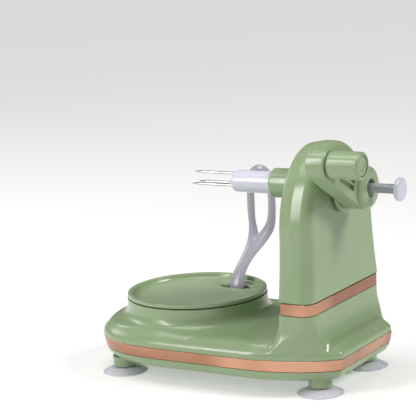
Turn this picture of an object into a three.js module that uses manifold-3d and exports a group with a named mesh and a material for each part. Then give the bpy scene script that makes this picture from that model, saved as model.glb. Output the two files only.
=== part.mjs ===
// A hand-cranked fruit peeler on four suction cups. Millimetres, +Z up.
// The origin is on the table under the middle of the machine, +X runs along the spindle to the crank,
// and Y = 0 is the plane through the spindle and the turntable axis.
// The crank turns the fork and, through gears in the tower and the base, a turntable that carries a
// sprung arm with the blade from one end of the fruit to the other.
import * as THREE from 'three';
import { mergeVertices } from 'three/addons/utils/BufferGeometryUtils.js';
import Module from 'manifold-3d';

const wasm = await Module();
wasm.setup();

// ---------------------------------------------------------------- driving dimensions
const GAP = 0.3; // between pieces that touch
const WALL = 2.4; // moulded wall

// base, seen from above: a long rounded D with its straight end under the crank
const BASE_LEFT = -137.5;
const BASE_RIGHT = 102.5;
const BASE_HALF_WIDTH = 73;
const BASE_MIDDLE = (BASE_LEFT + BASE_RIGHT) / 2;
const BASE_HALF_LENGTH = (BASE_RIGHT - BASE_LEFT) / 2;
const TRAY_BOTTOM = 12;
const TRAY_TOP = 21.5;
const TRAY_FLOOR = 14.2;
const BAND_BOTTOM = 21.8;
const BAND_TOP = 31.2;
const DECK_TOP = 44.5;
const DECK_UNDERSIDE = 41.6;

// turntable and the collar under it
const TABLE_X = -57.5;
const COLLAR_R = 60;
const COLLAR_BORE_R = 56.5;
const COLLAR_TOP = 61;
const DISC_R = 59.5;
const DISC_TOP = 65.3;
const DISC_FLOOR = 60.3;
const DISC_UNDERSIDE = 57.9;

// tower
const TOWER_LEFT = 55.5;
const TOWER_SPLIT = 75.7;
const TOWER_RIGHT = 85.5;
const TOWER_MIDDLE = (TOWER_LEFT + TOWER_RIGHT) / 2;
const TOWER_HALF_DEPTH = (TOWER_RIGHT - TOWER_LEFT) / 2;
const TOWER_HALF_WIDTH = 64;
const TOWER_FOOT = 77.4;
const TOWER_TOP = 197;
const TRIM_BOTTOM = 67.5;
const TRIM_TOP = 77.1;

// spindle line
const SPINDLE_Z = 160.7;
const TUBE_R = 9.2;
const TUBE_END = -13.5;
const TUBE_INNER_END = 53;
const COLLAR_START = 22.5;
const SPINDLE_COLLAR_R = 12.2;
const SHAFT_R = 5;
const JOURNAL_R = 6.5;
const JOURNAL_START = 79.8;
const SHAFT_END = 103;
const FORK_LENGTH = 40;
const PRONG_R = 1.15;
const PRONG_CIRCLE_R = 6.1;

// crank
const CRANK_BACK = 90;
const CRANK_FACE = 106;
const HUB_FACE = 110.5;
const HUB_R = 17.5;
const HANDLE_Y = -60.2;
const HANDLE_Z = 189.3;
const HANDLE_END_R = 12.4;
const GRIP_R = 10.8;
const GRIP_START = 106.6;
const GRIP_END = 133.5;
const PIN_R = 3;

// ejector
const ROD_R = 3.9;
const THIN_ROD_R = 2.4;
const THICK_ROD_START = 105.5;
const KNOB_FACE = 137.5;
const KNOB_R = 9.6;

// gears
const MODULE = 1.5;
const PINION_TEETH = 8;
const COMPOUND_BIG_TEETH = 32;
const COMPOUND_SMALL_TEETH = 10;
const IDLER_TEETH = 40;
const TABLE_TEETH = 60;
const BEVEL_TEETH = 16;
const BEVEL_R = 10.4;
const BEVEL_FACE = 3.6;
const LOW_GEARS = [26, 31.5];
const HIGH_GEARS = [34, 39.4];
const DRIVE_X = 69.5; // vertical drive shaft
const COMPOUND_X = DRIVE_X - (MODULE * (PINION_TEETH + COMPOUND_BIG_TEETH)) / 2;
const IDLER = meetingPoint(
  TABLE_X, (MODULE * (TABLE_TEETH + IDLER_TEETH)) / 2,
  COMPOUND_X, (MODULE * (COMPOUND_SMALL_TEETH + IDLER_TEETH)) / 2);
const AXLE_R = 3;
const POST_R = 6;

// peeler arm: it stands beside the fruit on a hinge under the turntable's slot
const ARM_HINGE = { x: -38.5, y: 34, z: 54 };
const ARM_THICK = 5;
const ARM_REACH = 30; // how far the arm leans out above its foot
const LEAN_START = 58;
const LEAN_END = 112;
const LOOP_X = -27.5;
const BLADE_Z = 147;

// feet
const CUP_R = 19;
const FEET = [[-104.5, -47], [-104.5, 47], [79.5, -40.7], [79.5, 40.7]];
const FOOT_R = 9.7;
const FOOT_BOTTOM = 5.2;
const TRAY_SCREWS = [[-112, -32], [-112, 32], [92, -22], [92, 22]];
const COVER_SCREWS = [[-46, 95], [46, 95], [-34, 166], [34, 166]]; // Y, Z

// ---------------------------------------------------------------- materials
const plastic = (color, roughness) => new THREE.MeshStandardMaterial({ color, roughness, metalness: 0 });
const metal = (color, roughness) => new THREE.MeshStandardMaterial({ color, roughness, metalness: 1 });
const SAGE = plastic(0x9db58a, 0.35);
const COPPER = metal(0xd09a7a, 0.35);
const LAVENDER = plastic(0xd6d2e2, 0.3);
const ARM_GREY = plastic(0xb9b3bd, 0.35);
const GEAR_WHITE = plastic(0xe8e6e0, 0.5);
const STEEL = metal(0xc4c6ca, 0.3);
const CUP_CLEAR = plastic(0xcfd3de, 0.2);

// ---------------------------------------------------------------- solids
// The closed geometry as a manifold-3d solid, with its faces pointing out.
function solid(geometry) {
  const bare = geometry.index ? geometry.toNonIndexed() : geometry.clone();
  bare.deleteAttribute('normal');
  bare.deleteAttribute('uv');
  const merged = mergeVertices(bare, 1e-4);
  const index = merged.index.array;
  const corners = [];
  for (let i = 0; i < index.length; i += 3) {
    const [a, b, c] = [index[i], index[i + 1], index[i + 2]];
    if (a !== b && b !== c && c !== a) corners.push(a, b, c);
  }
  const vertProperties = merged.attributes.position.array;
  const make = (triVerts) => new wasm.Manifold(new wasm.Mesh({ numProp: 3, vertProperties, triVerts }));
  const made = make(new Uint32Array(corners));
  if (made.volume() > 0) return made;
  return make(new Uint32Array(corners.reverse()));
}

function geometryOf(body) {
  const mesh = body.getMesh();
  const geometry = new THREE.BufferGeometry();
  geometry.setAttribute('position', new THREE.BufferAttribute(new Float32Array(mesh.vertProperties), 3));
  geometry.setIndex([...mesh.triVerts]);
  geometry.computeVertexNormals();
  return geometry;
}

// Where circles round (x1, 0) and (x2, 0) meet, on the +Y side.
function meetingPoint(x1, r1, x2, r2) {
  const apart = x2 - x1;
  const along = (r1 * r1 - r2 * r2 + apart * apart) / (2 * apart);
  return { x: x1 + along, y: Math.sqrt(r1 * r1 - along * along) };
}

// A profile of [radius, height] turned round +Z, then moved to (x, y).
function turned(profile, x = 0, y = 0, segments = 20) {
  const points = profile.map(([r, z]) => new THREE.Vector2(r, z));
  const geometry = new THREE.LatheGeometry(points, segments);
  return solid(geometry.rotateX(Math.PI / 2).translate(x, y, 0));
}

// A profile of [radius, x] turned round a line along +X through (y, z).
function turnedX(profile, y = 0, z = SPINDLE_Z, segments = 20) {
  const points = profile.map(([r, x]) => new THREE.Vector2(r, x));
  const geometry = new THREE.LatheGeometry(points, segments).rotateX(Math.PI / 2);
  return solid(geometry.rotateY(Math.PI / 2).translate(0, y, z));
}

// A round bar or hole along +Z or +X between two places.
const bar = (r, from, to, x, y, segments = 16) =>
  turned([[0, from], [r, from], [r, to], [0, to]], x, y, segments);
const barX = (r, from, to, y = 0, z = SPINDLE_Z, segments = 16) =>
  turnedX([[0, from], [r, from], [r, to], [0, to]], y, z, segments);

// A round bar or hole along Y.
const barY = (r, x, z, from, to) =>
  solid(new THREE.CylinderGeometry(r, r, to - from, 12).translate(x, (from + to) / 2, z));

function block([x0, x1], [y0, y1], [z0, z1]) {
  const geometry = new THREE.BoxGeometry(x1 - x0, y1 - y0, z1 - z0);
  return solid(geometry.translate((x0 + x1) / 2, (y0 + y1) / 2, (z0 + z1) / 2));
}

// An outline carried through levels. Each level is [place, inset], and the outline is drawn in by the
// inset on every side, measured at its half-width and half-length.
function layered(shape, levels, middle, half, curveSegments, axes = 'up') {
  const steps = levels.length - 1;
  const geometry = new THREE.ExtrudeGeometry(shape, { depth: 1, steps, bevelEnabled: false, curveSegments });
  const at = geometry.attributes.position;
  for (let i = 0; i < at.count; i++) {
    const [place, inset] = levels[Math.round(at.getZ(i) * steps)];
    const u = middle[0] + (at.getX(i) - middle[0]) * (1 - inset / half[0]);
    const v = middle[1] + (at.getY(i) - middle[1]) * (1 - inset / half[1]);
    if (axes === 'up') at.setXYZ(i, u, v, place);
    else at.setXYZ(i, place, u, v);
  }
  return solid(geometry);
}

// ---------------------------------------------------------------- outlines
// The base from above.
function basePlan() {
  const shape = new THREE.Shape();
  const w = BASE_HALF_WIDTH;
  const straight = 45.5; // half the straight end under the crank
  shape.moveTo(BASE_LEFT, 0);
  shape.bezierCurveTo(BASE_LEFT, -50, -109.5, -w, TABLE_X, -w);
  shape.lineTo(34.5, -w);
  shape.bezierCurveTo(62.5, -w + 3, 85.5, -w + 11, BASE_RIGHT, -straight);
  shape.lineTo(BASE_RIGHT, straight);
  shape.bezierCurveTo(85.5, w - 11, 62.5, w - 3, 34.5, w);
  shape.lineTo(TABLE_X, w);
  shape.bezierCurveTo(-109.5, w, BASE_LEFT, 50, BASE_LEFT, 0);
  return shape;
}
const BASE_PLAN = basePlan();
const baseLayers = (levels) =>
  layered(BASE_PLAN, levels, [BASE_MIDDLE, 0], [BASE_HALF_LENGTH, BASE_HALF_WIDTH], 6);

// The tower from above: flat towards the fruit, rounded corners towards the crank.
function towerPlan() {
  const shape = new THREE.Shape();
  const w = TOWER_HALF_WIDTH;
  shape.moveTo(TOWER_LEFT, -w + 2);
  shape.lineTo(TOWER_LEFT + 4, -w);
  shape.lineTo(TOWER_SPLIT, -w);
  shape.quadraticCurveTo(TOWER_RIGHT - 2, -w, TOWER_RIGHT, -w + 10);
  shape.lineTo(TOWER_RIGHT, w - 10);
  shape.quadraticCurveTo(TOWER_RIGHT - 2, w, TOWER_SPLIT, w);
  shape.lineTo(TOWER_LEFT + 4, w);
  shape.lineTo(TOWER_LEFT, w - 2);
  return shape;
}
const TOWER_PLAN = towerPlan();
const towerLayers = (levels) =>
  layered(TOWER_PLAN, levels, [TOWER_MIDDLE, 0], [TOWER_HALF_DEPTH, TOWER_HALF_WIDTH], 5);

// The tower from the crank side, as [Y, Z]: leaning sides under half an ellipse.
function arch() {
  const springing = 130;
  const shape = new THREE.Shape();
  shape.moveTo(TOWER_HALF_WIDTH, TOWER_FOOT);
  shape.quadraticCurveTo(59, 105, 58, springing);
  shape.absellipse(0, springing, 58, TOWER_TOP - springing, 0, Math.PI, false, 0);
  shape.quadraticCurveTo(-59, 105, -TOWER_HALF_WIDTH, TOWER_FOOT);
  return shape;
}
const ARCH = arch();
const archLayers = (levels) =>
  layered(ARCH, levels, [0, TOWER_FOOT], [TOWER_HALF_WIDTH, TOWER_TOP - TOWER_FOOT], 7, 'along');

// ---------------------------------------------------------------- gears
// One gear outline with thin trapezoid teeth. A tooth points along +X, or a gap does if gapFirst.
function gearShape(teeth, module, { gapFirst = false, turn = 0, addendum = 0.72 } = {}) {
  const pitchR = (teeth * module) / 2;
  const tip = pitchR + addendum * module;
  const root = pitchR - 1.05 * module;
  const pitchAngle = (2 * Math.PI) / teeth;
  const shape = new THREE.Shape();
  for (let i = 0; i < teeth; i++) {
    const middle = turn + (i + (gapFirst ? 0.5 : 0)) * pitchAngle;
    const corners = [[root, -0.27], [tip, -0.1], [tip, 0.1], [root, 0.27]];
    corners.forEach(([r, part], k) => {
      const angle = middle + part * pitchAngle;
      const go = i + k === 0 ? 'moveTo' : 'lineTo';
      shape[go](r * Math.cos(angle), r * Math.sin(angle));
    });
  }
  return shape;
}

function prism(shape, [from, to], x, y) {
  const geometry = new THREE.ExtrudeGeometry(shape, { depth: to - from, bevelEnabled: false });
  return solid(geometry.translate(x, y, from));
}

// A mitre gear with its apex at the origin and its back BEVEL_R below it, pointing up +Z.
function mitreGear(options) {
  const shape = gearShape(BEVEL_TEETH, (2 * BEVEL_R) / BEVEL_TEETH, options);
  const geometry = new THREE.ExtrudeGeometry(shape, { depth: BEVEL_FACE, bevelEnabled: false });
  const at = geometry.attributes.position;
  for (let i = 0; i < at.count; i++) {
    const taper = 1 - at.getZ(i) / BEVEL_R;
    at.setXYZ(i, at.getX(i) * taper, at.getY(i) * taper, at.getZ(i) - BEVEL_R);
  }
  return geometry;
}

// ---------------------------------------------------------------- scene graph
const machine = new THREE.Group();
function add(name, body, material) {
  const mesh = new THREE.Mesh(geometryOf(body), material);
  mesh.name = name;
  machine.add(mesh);
}

// ---------------------------------------------------------------- base
function baseTray() {
  let tray = baseLayers([[TRAY_BOTTOM, 11], [13.2, 8], [15.5, 5], [18.5, 3], [TRAY_TOP, 1.8]]);
  for (const [x, y] of FEET) tray = tray.add(bar(FOOT_R, FOOT_BOTTOM, 17, x, y, 14));
  tray = tray.subtract(baseLayers([[TRAY_FLOOR, 13.6], [15.8, 10], [18.4, 6.4], [TRAY_TOP + 1, 4.6]]));
  for (const [x, y] of FEET) {
    tray = tray.add(bar(FOOT_R, TRAY_FLOOR - 1, 17, x, y, 14));
    tray = tray.subtract(bar(4.3, FOOT_BOTTOM - 1, 12, x, y, 12));
  }
  for (const [x, y] of TRAY_SCREWS) {
    tray = tray.add(bar(5.6, TRAY_FLOOR - 1, 19, x, y, 8));
    tray = tray.subtract(bar(3.6, TRAY_BOTTOM - 1, 15.6, x, y, 8)).subtract(bar(1.9, 15, 20, x, y, 8));
  }
  return tray;
}

function baseBand() {
  const outside = baseLayers([[BAND_BOTTOM, 1.6], [BAND_TOP, 0]]);
  return outside.subtract(baseLayers([[BAND_BOTTOM - 1, 3.3], [BAND_TOP + 1, 1.4]]));
}

function baseHousing() {
  const skin = baseLayers([
    [BAND_BOTTOM, 3.8], [BAND_TOP, 2.1], [BAND_TOP + GAP, 0], [35, 0.3], [37.5, 1.4],
    [40, 3.2], [43, 5], [47, 7.2], [52, 9.8], [COLLAR_TOP, 12]]);
  const slab = block([BASE_LEFT, BASE_RIGHT], [-BASE_HALF_WIDTH, BASE_HALF_WIDTH], [20, DECK_TOP]);
  const flare = turned([
    [0, 40], [79, 40], [77, DECK_TOP], [72, 47.4], [67, 50], [63.6, 52.4], [61.3, 55.2],
    [COLLAR_R + 0.3, 58], [COLLAR_R, COLLAR_TOP], [0, COLLAR_TOP]], TABLE_X, 0, 40);
  const pedestal = towerLayers([
    [38, -15], [42, -11], [45, -8.6], [48.5, -6.6], [52, -4.8], [56, -2.9], [61, -1.2], [67.2, 0]]);
  const neck = towerLayers([[60, 1.7], [TRIM_TOP, 1.7]]);
  const fruitSide = block([TOWER_LEFT, 58], [-62, 62], [60, TRIM_TOP]);
  // The pedestal's flare stops at the edge of the base.
  const edge = baseLayers([[36, 1], [46, 1.8], [56, 1.2], [64, -1], [80, -1]]);
  const outside = skin.intersect(slab.add(flare)).add(pedestal.intersect(edge)).add(neck).add(fruitSide);
  const room = baseLayers([[BAND_BOTTOM - 1, 6.4], [35, 4], [38, 5.4], [DECK_UNDERSIDE, 8.6]]);
  const collarBore = bar(COLLAR_BORE_R, 38, COLLAR_TOP + 1, TABLE_X, 0, 40);
  const towerRoom = block([TOWER_LEFT + WALL, TOWER_RIGHT - 3.7], [-57, 57], [38, TRIM_TOP + 1]);
  let housing = outside.subtract(room.add(collarBore).add(towerRoom));
  for (const [x, y] of TRAY_SCREWS) {
    const post = bar(4, 20, DECK_UNDERSIDE + 1, x, y, 8).subtract(bar(1.9, 19, 32, x, y, 8));
    housing = housing.add(post);
  }
  return housing;
}

// A screw with its head down at z, and its shank going up.
const screwUp = (x, y, z, length) =>
  turned([[0, z], [3, z], [3, z + 1.8], [1.5, z + 2.2], [1.5, z + length], [0, z + length]], x, y, 8);

function suctionCup(x, y) {
  return turned([
    [0, 3.2], [9, 2.8], [15, 1.3], [17.6, 0], [CUP_R, 0], [CUP_R, 0.7], [15.5, 2.6], [9.5, 4.4],
    [6, FOOT_BOTTOM - GAP], [4, FOOT_BOTTOM - GAP], [4, 11.4], [0, 11.4]], x, y, 18);
}

add('base_tray', baseTray(), SAGE);
add('base_trim_band', baseBand(), COPPER);
add('base_housing', baseHousing(), SAGE);
FEET.forEach(([x, y], i) => add(`suction_cup_${i + 1}`, suctionCup(x, y), CUP_CLEAR));
TRAY_SCREWS.forEach(([x, y], i) => add(`tray_screw_${i + 1}`, screwUp(x, y, 12.6, 16), STEEL));

// ---------------------------------------------------------------- axles and bearings in the base
// A stepped axle: foot on the tray, shoulder under the gear, and a pin through it.
const axle = (x, y, shoulderR, shoulderTop, pinR, pinTop) =>
  turned([
    [0, TRAY_FLOOR + GAP], [shoulderR + 3, TRAY_FLOOR + GAP], [shoulderR + 3, 17], [shoulderR, 19],
    [shoulderR, shoulderTop], [pinR, shoulderTop], [pinR, pinTop], [0, pinTop]], x, y, 16);

const CLIP_Z = 41.4;
function turntablePost() {
  const post = axle(TABLE_X, 0, 9, 33, POST_R, 46);
  const groove = turned([
    [5, CLIP_Z - 0.2], [7, CLIP_Z - 0.2], [7, CLIP_Z + 1.2], [5, CLIP_Z + 1.2], [5, CLIP_Z - 0.2],
  ], TABLE_X);
  return post.subtract(groove);
}

const ring = (inner, outer, from, to, x, y = 0, segments = 20) =>
  turned([[inner, from], [outer, from], [outer, to], [inner, to], [inner, from]], x, y, segments);

add('turntable_post', turntablePost(), GEAR_WHITE);
add('thrust_washer', ring(POST_R + GAP, 8.8, 33.2, 33.8, TABLE_X), STEEL);
add('post_clip', ring(5.3, 8, CLIP_Z, CLIP_Z + 1, TABLE_X), STEEL);
add('idler_axle', axle(IDLER.x, IDLER.y, 5, HIGH_GEARS[0] - GAP, AXLE_R, 40.6), GEAR_WHITE);
add('compound_axle', axle(COMPOUND_X, 0, 5, LOW_GEARS[0] - GAP, AXLE_R, 40.6), GEAR_WHITE);
add('lower_shaft_bearing', turned([
  [AXLE_R + GAP, TRAY_FLOOR + GAP], [9, TRAY_FLOOR + GAP], [9, 17], [6.5, 18.5], [6.5, 25.4],
  [AXLE_R + GAP, 25.4], [AXLE_R + GAP, TRAY_FLOOR + GAP]], DRIVE_X, 0, 16), GEAR_WHITE);

// ---------------------------------------------------------------- tower
function towerShell() {
  const outside = archLayers([
    [TOWER_LEFT, 2.6], [TOWER_LEFT + 1.3, 1.3], [TOWER_LEFT + 4, 0.6], [67.5, 0], [TOWER_SPLIT, 0]]);
  const hollow = archLayers([[TOWER_LEFT + WALL, WALL + 0.6], [TOWER_SPLIT + 1, WALL + 0.6]]);
  const mouth = block([TOWER_LEFT + WALL, 80], [-60, 60], [TOWER_FOOT - 1, 90]);
  let shell = outside.subtract(hollow.add(mouth));
  for (const [y, z] of COVER_SCREWS) {
    shell = shell.add(barX(4.6, TOWER_LEFT + 1, 62, y, z, 8));
    shell = shell.subtract(barX(3.4, 50, 58.5, y, z, 8)).subtract(barX(1.9, 58, 63, y, z, 8));
  }
  return shell.subtract(barX(11.3, 50, 60));
}

// The cover's edge is a quarter ellipse, deeper low down than at the top, and its face leans back a little.
function towerCover() {
  const start = TOWER_SPLIT + GAP;
  const depth = TOWER_RIGHT - start;
  const rounding = (t) => 9.5 * (1 - Math.sqrt(1 - t * t));
  const levels = [0, 0.35, 0.6, 0.8, 0.93, 1].map((t) => [start + depth * t, rounding(t)]);
  const lean = (body) => body.warp((v) => {
    const t = (v[0] - start) / depth;
    if (t > 0) v[0] -= (3 * t * (v[2] - TOWER_FOOT)) / (TOWER_TOP - TOWER_FOOT);
  });
  const outside = lean(archLayers(levels));
  const inside = [[start - 1, 5.8], [81.2, 5.8]];
  const low = block([start - 1, 81.2], [-57, 57], [TOWER_FOOT - 1, 90]);
  let cover = outside.subtract(archLayers(inside).add(low));
  for (const [y, z] of COVER_SCREWS) {
    cover = cover.add(barX(4.2, 62.4, 82, y, z, 8)).subtract(barX(1.9, 60, 74, y, z, 8));
  }
  return cover.subtract(barX(9.4, 78, 90));
}

// The band is a U: it runs round the front, the crank side and the back.
function towerBand() {
  const outside = towerLayers([[TRIM_BOTTOM, 0], [TRIM_TOP, 0]]);
  const inside = towerLayers([[TRIM_BOTTOM - 1, 1.35], [TRIM_TOP + 1, 1.35]]);
  const fruitSide = block([50, 58.4], [-80, 80], [60, 80]);
  return outside.subtract(inside).subtract(fruitSide);
}

add('tower_shell', towerShell(), SAGE);
add('tower_cover', towerCover(), SAGE);
add('tower_trim_band', towerBand(), COPPER);
COVER_SCREWS.forEach(([y, z], i) => add(`cover_screw_${i + 1}`, turnedX([
  [0, 56.2], [2.9, 56.2], [2.9, 58.1], [1.5, 58.4], [1.5, 72], [0, 72]], y, z, 8), STEEL));

add('spindle_collar', turnedX([
  [TUBE_R + 0.3, COLLAR_START + 0.6], [10.4, COLLAR_START], [11.6, COLLAR_START + 0.5],
  [SPINDLE_COLLAR_R, COLLAR_START + 2], [SPINDLE_COLLAR_R, TOWER_LEFT - GAP],
  [10.9, TOWER_LEFT - GAP], [10.9, 57.9], [TUBE_R + 0.3, 57.9], [TUBE_R + 0.3, COLLAR_START + 0.6]]), SAGE);
add('crank_bush', turnedX([
  [JOURNAL_R + 0.25, 80.4], [9, 80.4], [9, 85.9], [20.5, 85.9], [20.5, 88],
  [19.5, 88.8], [JOURNAL_R + 0.25, 88.8], [JOURNAL_R + 0.25, 80.4]], 0, SPINDLE_Z, 28), SAGE);

function shaftBracket() {
  const plate = block([58.2, 79], [-13, 13], [124, 128]).add(bar(7, 120, 131, DRIVE_X, 0));
  return plate.subtract(bar(AXLE_R + GAP, 118, 133, DRIVE_X, 0));
}
add('upper_shaft_bracket', shaftBracket(), GEAR_WHITE);

// ---------------------------------------------------------------- spindle, fork and crank
add('spindle_tube', turnedX([
  [8, TUBE_END], [8.6, TUBE_END + 0.2], [TUBE_R, TUBE_END + 1.5], [TUBE_R, TUBE_INNER_END],
  [SHAFT_R + GAP, TUBE_INNER_END], [SHAFT_R + GAP, -6], [8, -6], [8, TUBE_END]]), LAVENDER);
add('spindle_shaft', turnedX([
  [2.7, -5.6], [SHAFT_R, -5.6], [SHAFT_R, JOURNAL_START - 0.4], [JOURNAL_R, JOURNAL_START],
  [JOURNAL_R, SHAFT_END], [4.2, SHAFT_END], [4.2, 80], [2.7, 78.5], [2.7, -5.6]]), STEEL);

const PRONGS = [90, 210, 330].map((degrees) => {
  const angle = (degrees * Math.PI) / 180;
  return [PRONG_CIRCLE_R * Math.cos(angle), SPINDLE_Z + PRONG_CIRCLE_R * Math.sin(angle)];
});
// A plug in the tube's mouth with a socket for each prong.
function forkHolder() {
  const [inner, outer, front, back] = [4.5, 7.7, TUBE_END + 0.3, -6.3];
  const plug = turnedX([[inner, front], [outer, front], [outer, back], [inner, back], [inner, front]]);
  return PRONGS.reduce((body, [y, z]) => body.subtract(barX(1.4, -14, -8, y, z, 12)), plug);
}
add('fork_holder', forkHolder(), LAVENDER);
PRONGS.forEach(([y, z], i) => add(`fork_prong_${i + 1}`, turnedX([
  [0, TUBE_END - FORK_LENGTH], [0.35, TUBE_END - FORK_LENGTH + 0.3],
  [PRONG_R, TUBE_END - FORK_LENGTH + 6], [PRONG_R, -8.4], [0, -8.4]], y, z, 10), STEEL));

// The spindle's mitre gear points its small end towards the crank; a tooth points straight down.
function spindleGear() {
  const teeth = solid(mitreGear().rotateY(Math.PI / 2).translate(DRIVE_X, 0, SPINDLE_Z));
  const hub = barX(7.5, 58.4, 61);
  return teeth.add(hub).subtract(barX(SHAFT_R + 0.15, 50, 70));
}
add('spindle_gear', spindleGear(), GEAR_WHITE);

const CRANK_ANGLE = Math.atan2(HANDLE_Z - SPINDLE_Z, HANDLE_Y);
// The crank arm from its end: the hub's circle and the handle's, joined by their tangents.
function crankOutline() {
  const apart = Math.hypot(HANDLE_Z - SPINDLE_Z, HANDLE_Y);
  const spread = Math.acos((HUB_R - HANDLE_END_R) / apart);
  const shape = new THREE.Shape();
  shape.absarc(0, SPINDLE_Z, HUB_R, CRANK_ANGLE + spread, CRANK_ANGLE - spread + 2 * Math.PI, false);
  shape.absarc(HANDLE_Y, HANDLE_Z, HANDLE_END_R, CRANK_ANGLE - spread, CRANK_ANGLE + spread, false);
  return shape;
}
// An outline in Y and Z carried along X.
function plateX(shape, from, to, curveSegments = 12) {
  const geometry = new THREE.ExtrudeGeometry(shape, { depth: to - from, bevelEnabled: false, curveSegments });
  const basis = new THREE.Matrix4().makeBasis(
    new THREE.Vector3(0, 1, 0), new THREE.Vector3(0, 0, 1), new THREE.Vector3(1, 0, 0));
  return solid(geometry.applyMatrix4(basis).translate(from, 0, 0));
}
// A lengthwise trough on the arm's face, between the hub and the handle.
function crankTrough() {
  const trough = block([CRANK_FACE - 5, CRANK_FACE + 1], [21, 49], [-8.5, 8.5])
    .subtract(block([CRANK_FACE - 6, CRANK_FACE - 0.8], [20, 50], [-0.9, 0.9]));
  return trough.rotate([(CRANK_ANGLE * 180) / Math.PI, 0, 0]).translate([0, 0, SPINDLE_Z]);
}
function crankArm() {
  const hub = turnedX([
    [0, CRANK_BACK], [HUB_R, CRANK_BACK], [HUB_R, HUB_FACE - 2.5], [HUB_R - 0.8, HUB_FACE - 0.8],
    [HUB_R - 2.8, HUB_FACE], [0, HUB_FACE]], 0, SPINDLE_Z, 32);
  return plateX(crankOutline(), CRANK_BACK, CRANK_FACE)
    .subtract(crankTrough()).add(hub)
    .subtract(barX(JOURNAL_R + GAP, CRANK_BACK - 1, 104.6))
    .subtract(barX(7.3, 103.4, HUB_FACE + 1))
    .subtract(barX(PIN_R + GAP, CRANK_BACK - 1, CRANK_FACE + 1, HANDLE_Y, HANDLE_Z))
    .subtract(barX(5.4, CRANK_BACK - 1, 92.4, HANDLE_Y, HANDLE_Z));
}
add('crank_arm', crankArm(), SAGE);
add('hub_nut', turnedX([
  [5, 103.6], [7, 103.6], [7, 106.4], [5, 106.4], [5, 103.6]], 0, SPINDLE_Z, 6), STEEL);
add('handle_pin', turnedX([
  [0, 90.2], [5, 90.2], [5, 92.1], [PIN_R, 92.1], [PIN_R, 129.4], [0, 129.4],
], HANDLE_Y, HANDLE_Z), STEEL);

// ---------------------------------------------------------------- handle grip
add('handle_grip', turnedX([
  [PIN_R + GAP, GRIP_START], [GRIP_R - 0.8, GRIP_START], [GRIP_R, GRIP_START + 0.9],
  [GRIP_R, GRIP_END - 1.2], [GRIP_R - 1.1, GRIP_END], [8.2, GRIP_END], [8.2, 130.4],
  [PIN_R + GAP, 130.4], [PIN_R + GAP, GRIP_START]], HANDLE_Y, HANDLE_Z), SAGE);
add('grip_cap', turnedX([
  [0, 130.7], [7.9, 130.7], [7.9, GRIP_END - 0.7], [7.2, GRIP_END - 0.2], [0, GRIP_END - 0.2]],
HANDLE_Y, HANDLE_Z), SAGE);

// ---------------------------------------------------------------- ejector
add('ejector_rod', turnedX([
  [0, -9.6], [THIN_ROD_R, -9.6], [THIN_ROD_R, THICK_ROD_START - 1], [ROD_R, THICK_ROD_START],
  [ROD_R, KNOB_FACE - 5], [0, KNOB_FACE - 5]]), LAVENDER);
add('ejector_knob', turnedX([
  [0, KNOB_FACE - 4.7], [KNOB_R - 1.2, KNOB_FACE - 4.7], [KNOB_R, KNOB_FACE - 3.6],
  [KNOB_R, KNOB_FACE - 1.2], [KNOB_R - 1.2, KNOB_FACE], [0, KNOB_FACE]]), LAVENDER);
add('ejector_head', turnedX([
  [0, TUBE_END + 0.6], [3.6, TUBE_END + 0.6], [4.2, TUBE_END + 1.2], [4.2, -9.9], [0, -9.9]]), LAVENDER);

// ---------------------------------------------------------------- gear train
add('drive_shaft', bar(AXLE_R, 17.4, SPINDLE_Z - BEVEL_R - 0.5, DRIVE_X, 0), STEEL);

function driveGear() {
  const teeth = solid(mitreGear({ gapFirst: true }).translate(DRIVE_X, 0, SPINDLE_Z));
  const back = SPINDLE_Z - BEVEL_R;
  return teeth.add(bar(7, back - 5, back + 1, DRIVE_X, 0))
    .subtract(bar(AXLE_R + 0.15, back - 6, back - 0.3, DRIVE_X, 0));
}
add('drive_shaft_gear', driveGear(), GEAR_WHITE);

const pinion = prism(gearShape(PINION_TEETH, MODULE, { turn: Math.PI }), LOW_GEARS, DRIVE_X, 0);
add('drive_pinion', pinion.subtract(bar(AXLE_R + 0.15, 20, 40, DRIVE_X, 0)), GEAR_WHITE);

const compoundToIdler = Math.atan2(IDLER.y, IDLER.x - COMPOUND_X);
const idlerToTable = Math.atan2(-IDLER.y, TABLE_X - IDLER.x);
const running = (x, y) => bar(AXLE_R + 0.15, 20, 45, x, y);

const compoundBig = gearShape(COMPOUND_BIG_TEETH, MODULE, { gapFirst: true });
const compoundSmall = gearShape(COMPOUND_SMALL_TEETH, MODULE, { turn: compoundToIdler });
add('compound_gear', prism(compoundBig, LOW_GEARS, COMPOUND_X, 0)
  .add(prism(compoundSmall, [LOW_GEARS[1] - 0.5, HIGH_GEARS[1]], COMPOUND_X, 0))
  .subtract(running(COMPOUND_X, 0)), GEAR_WHITE);

// The idler has a gap towards the compound gear, and a gap or a tooth towards the table by its count.
const idlerPhase = compoundToIdler + Math.PI;
const idlerShape = gearShape(IDLER_TEETH, MODULE, { gapFirst: true, turn: idlerPhase });
add('idler_gear', prism(idlerShape, HIGH_GEARS, IDLER.x, IDLER.y)
  .subtract(running(IDLER.x, IDLER.y)), GEAR_WHITE);

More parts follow.
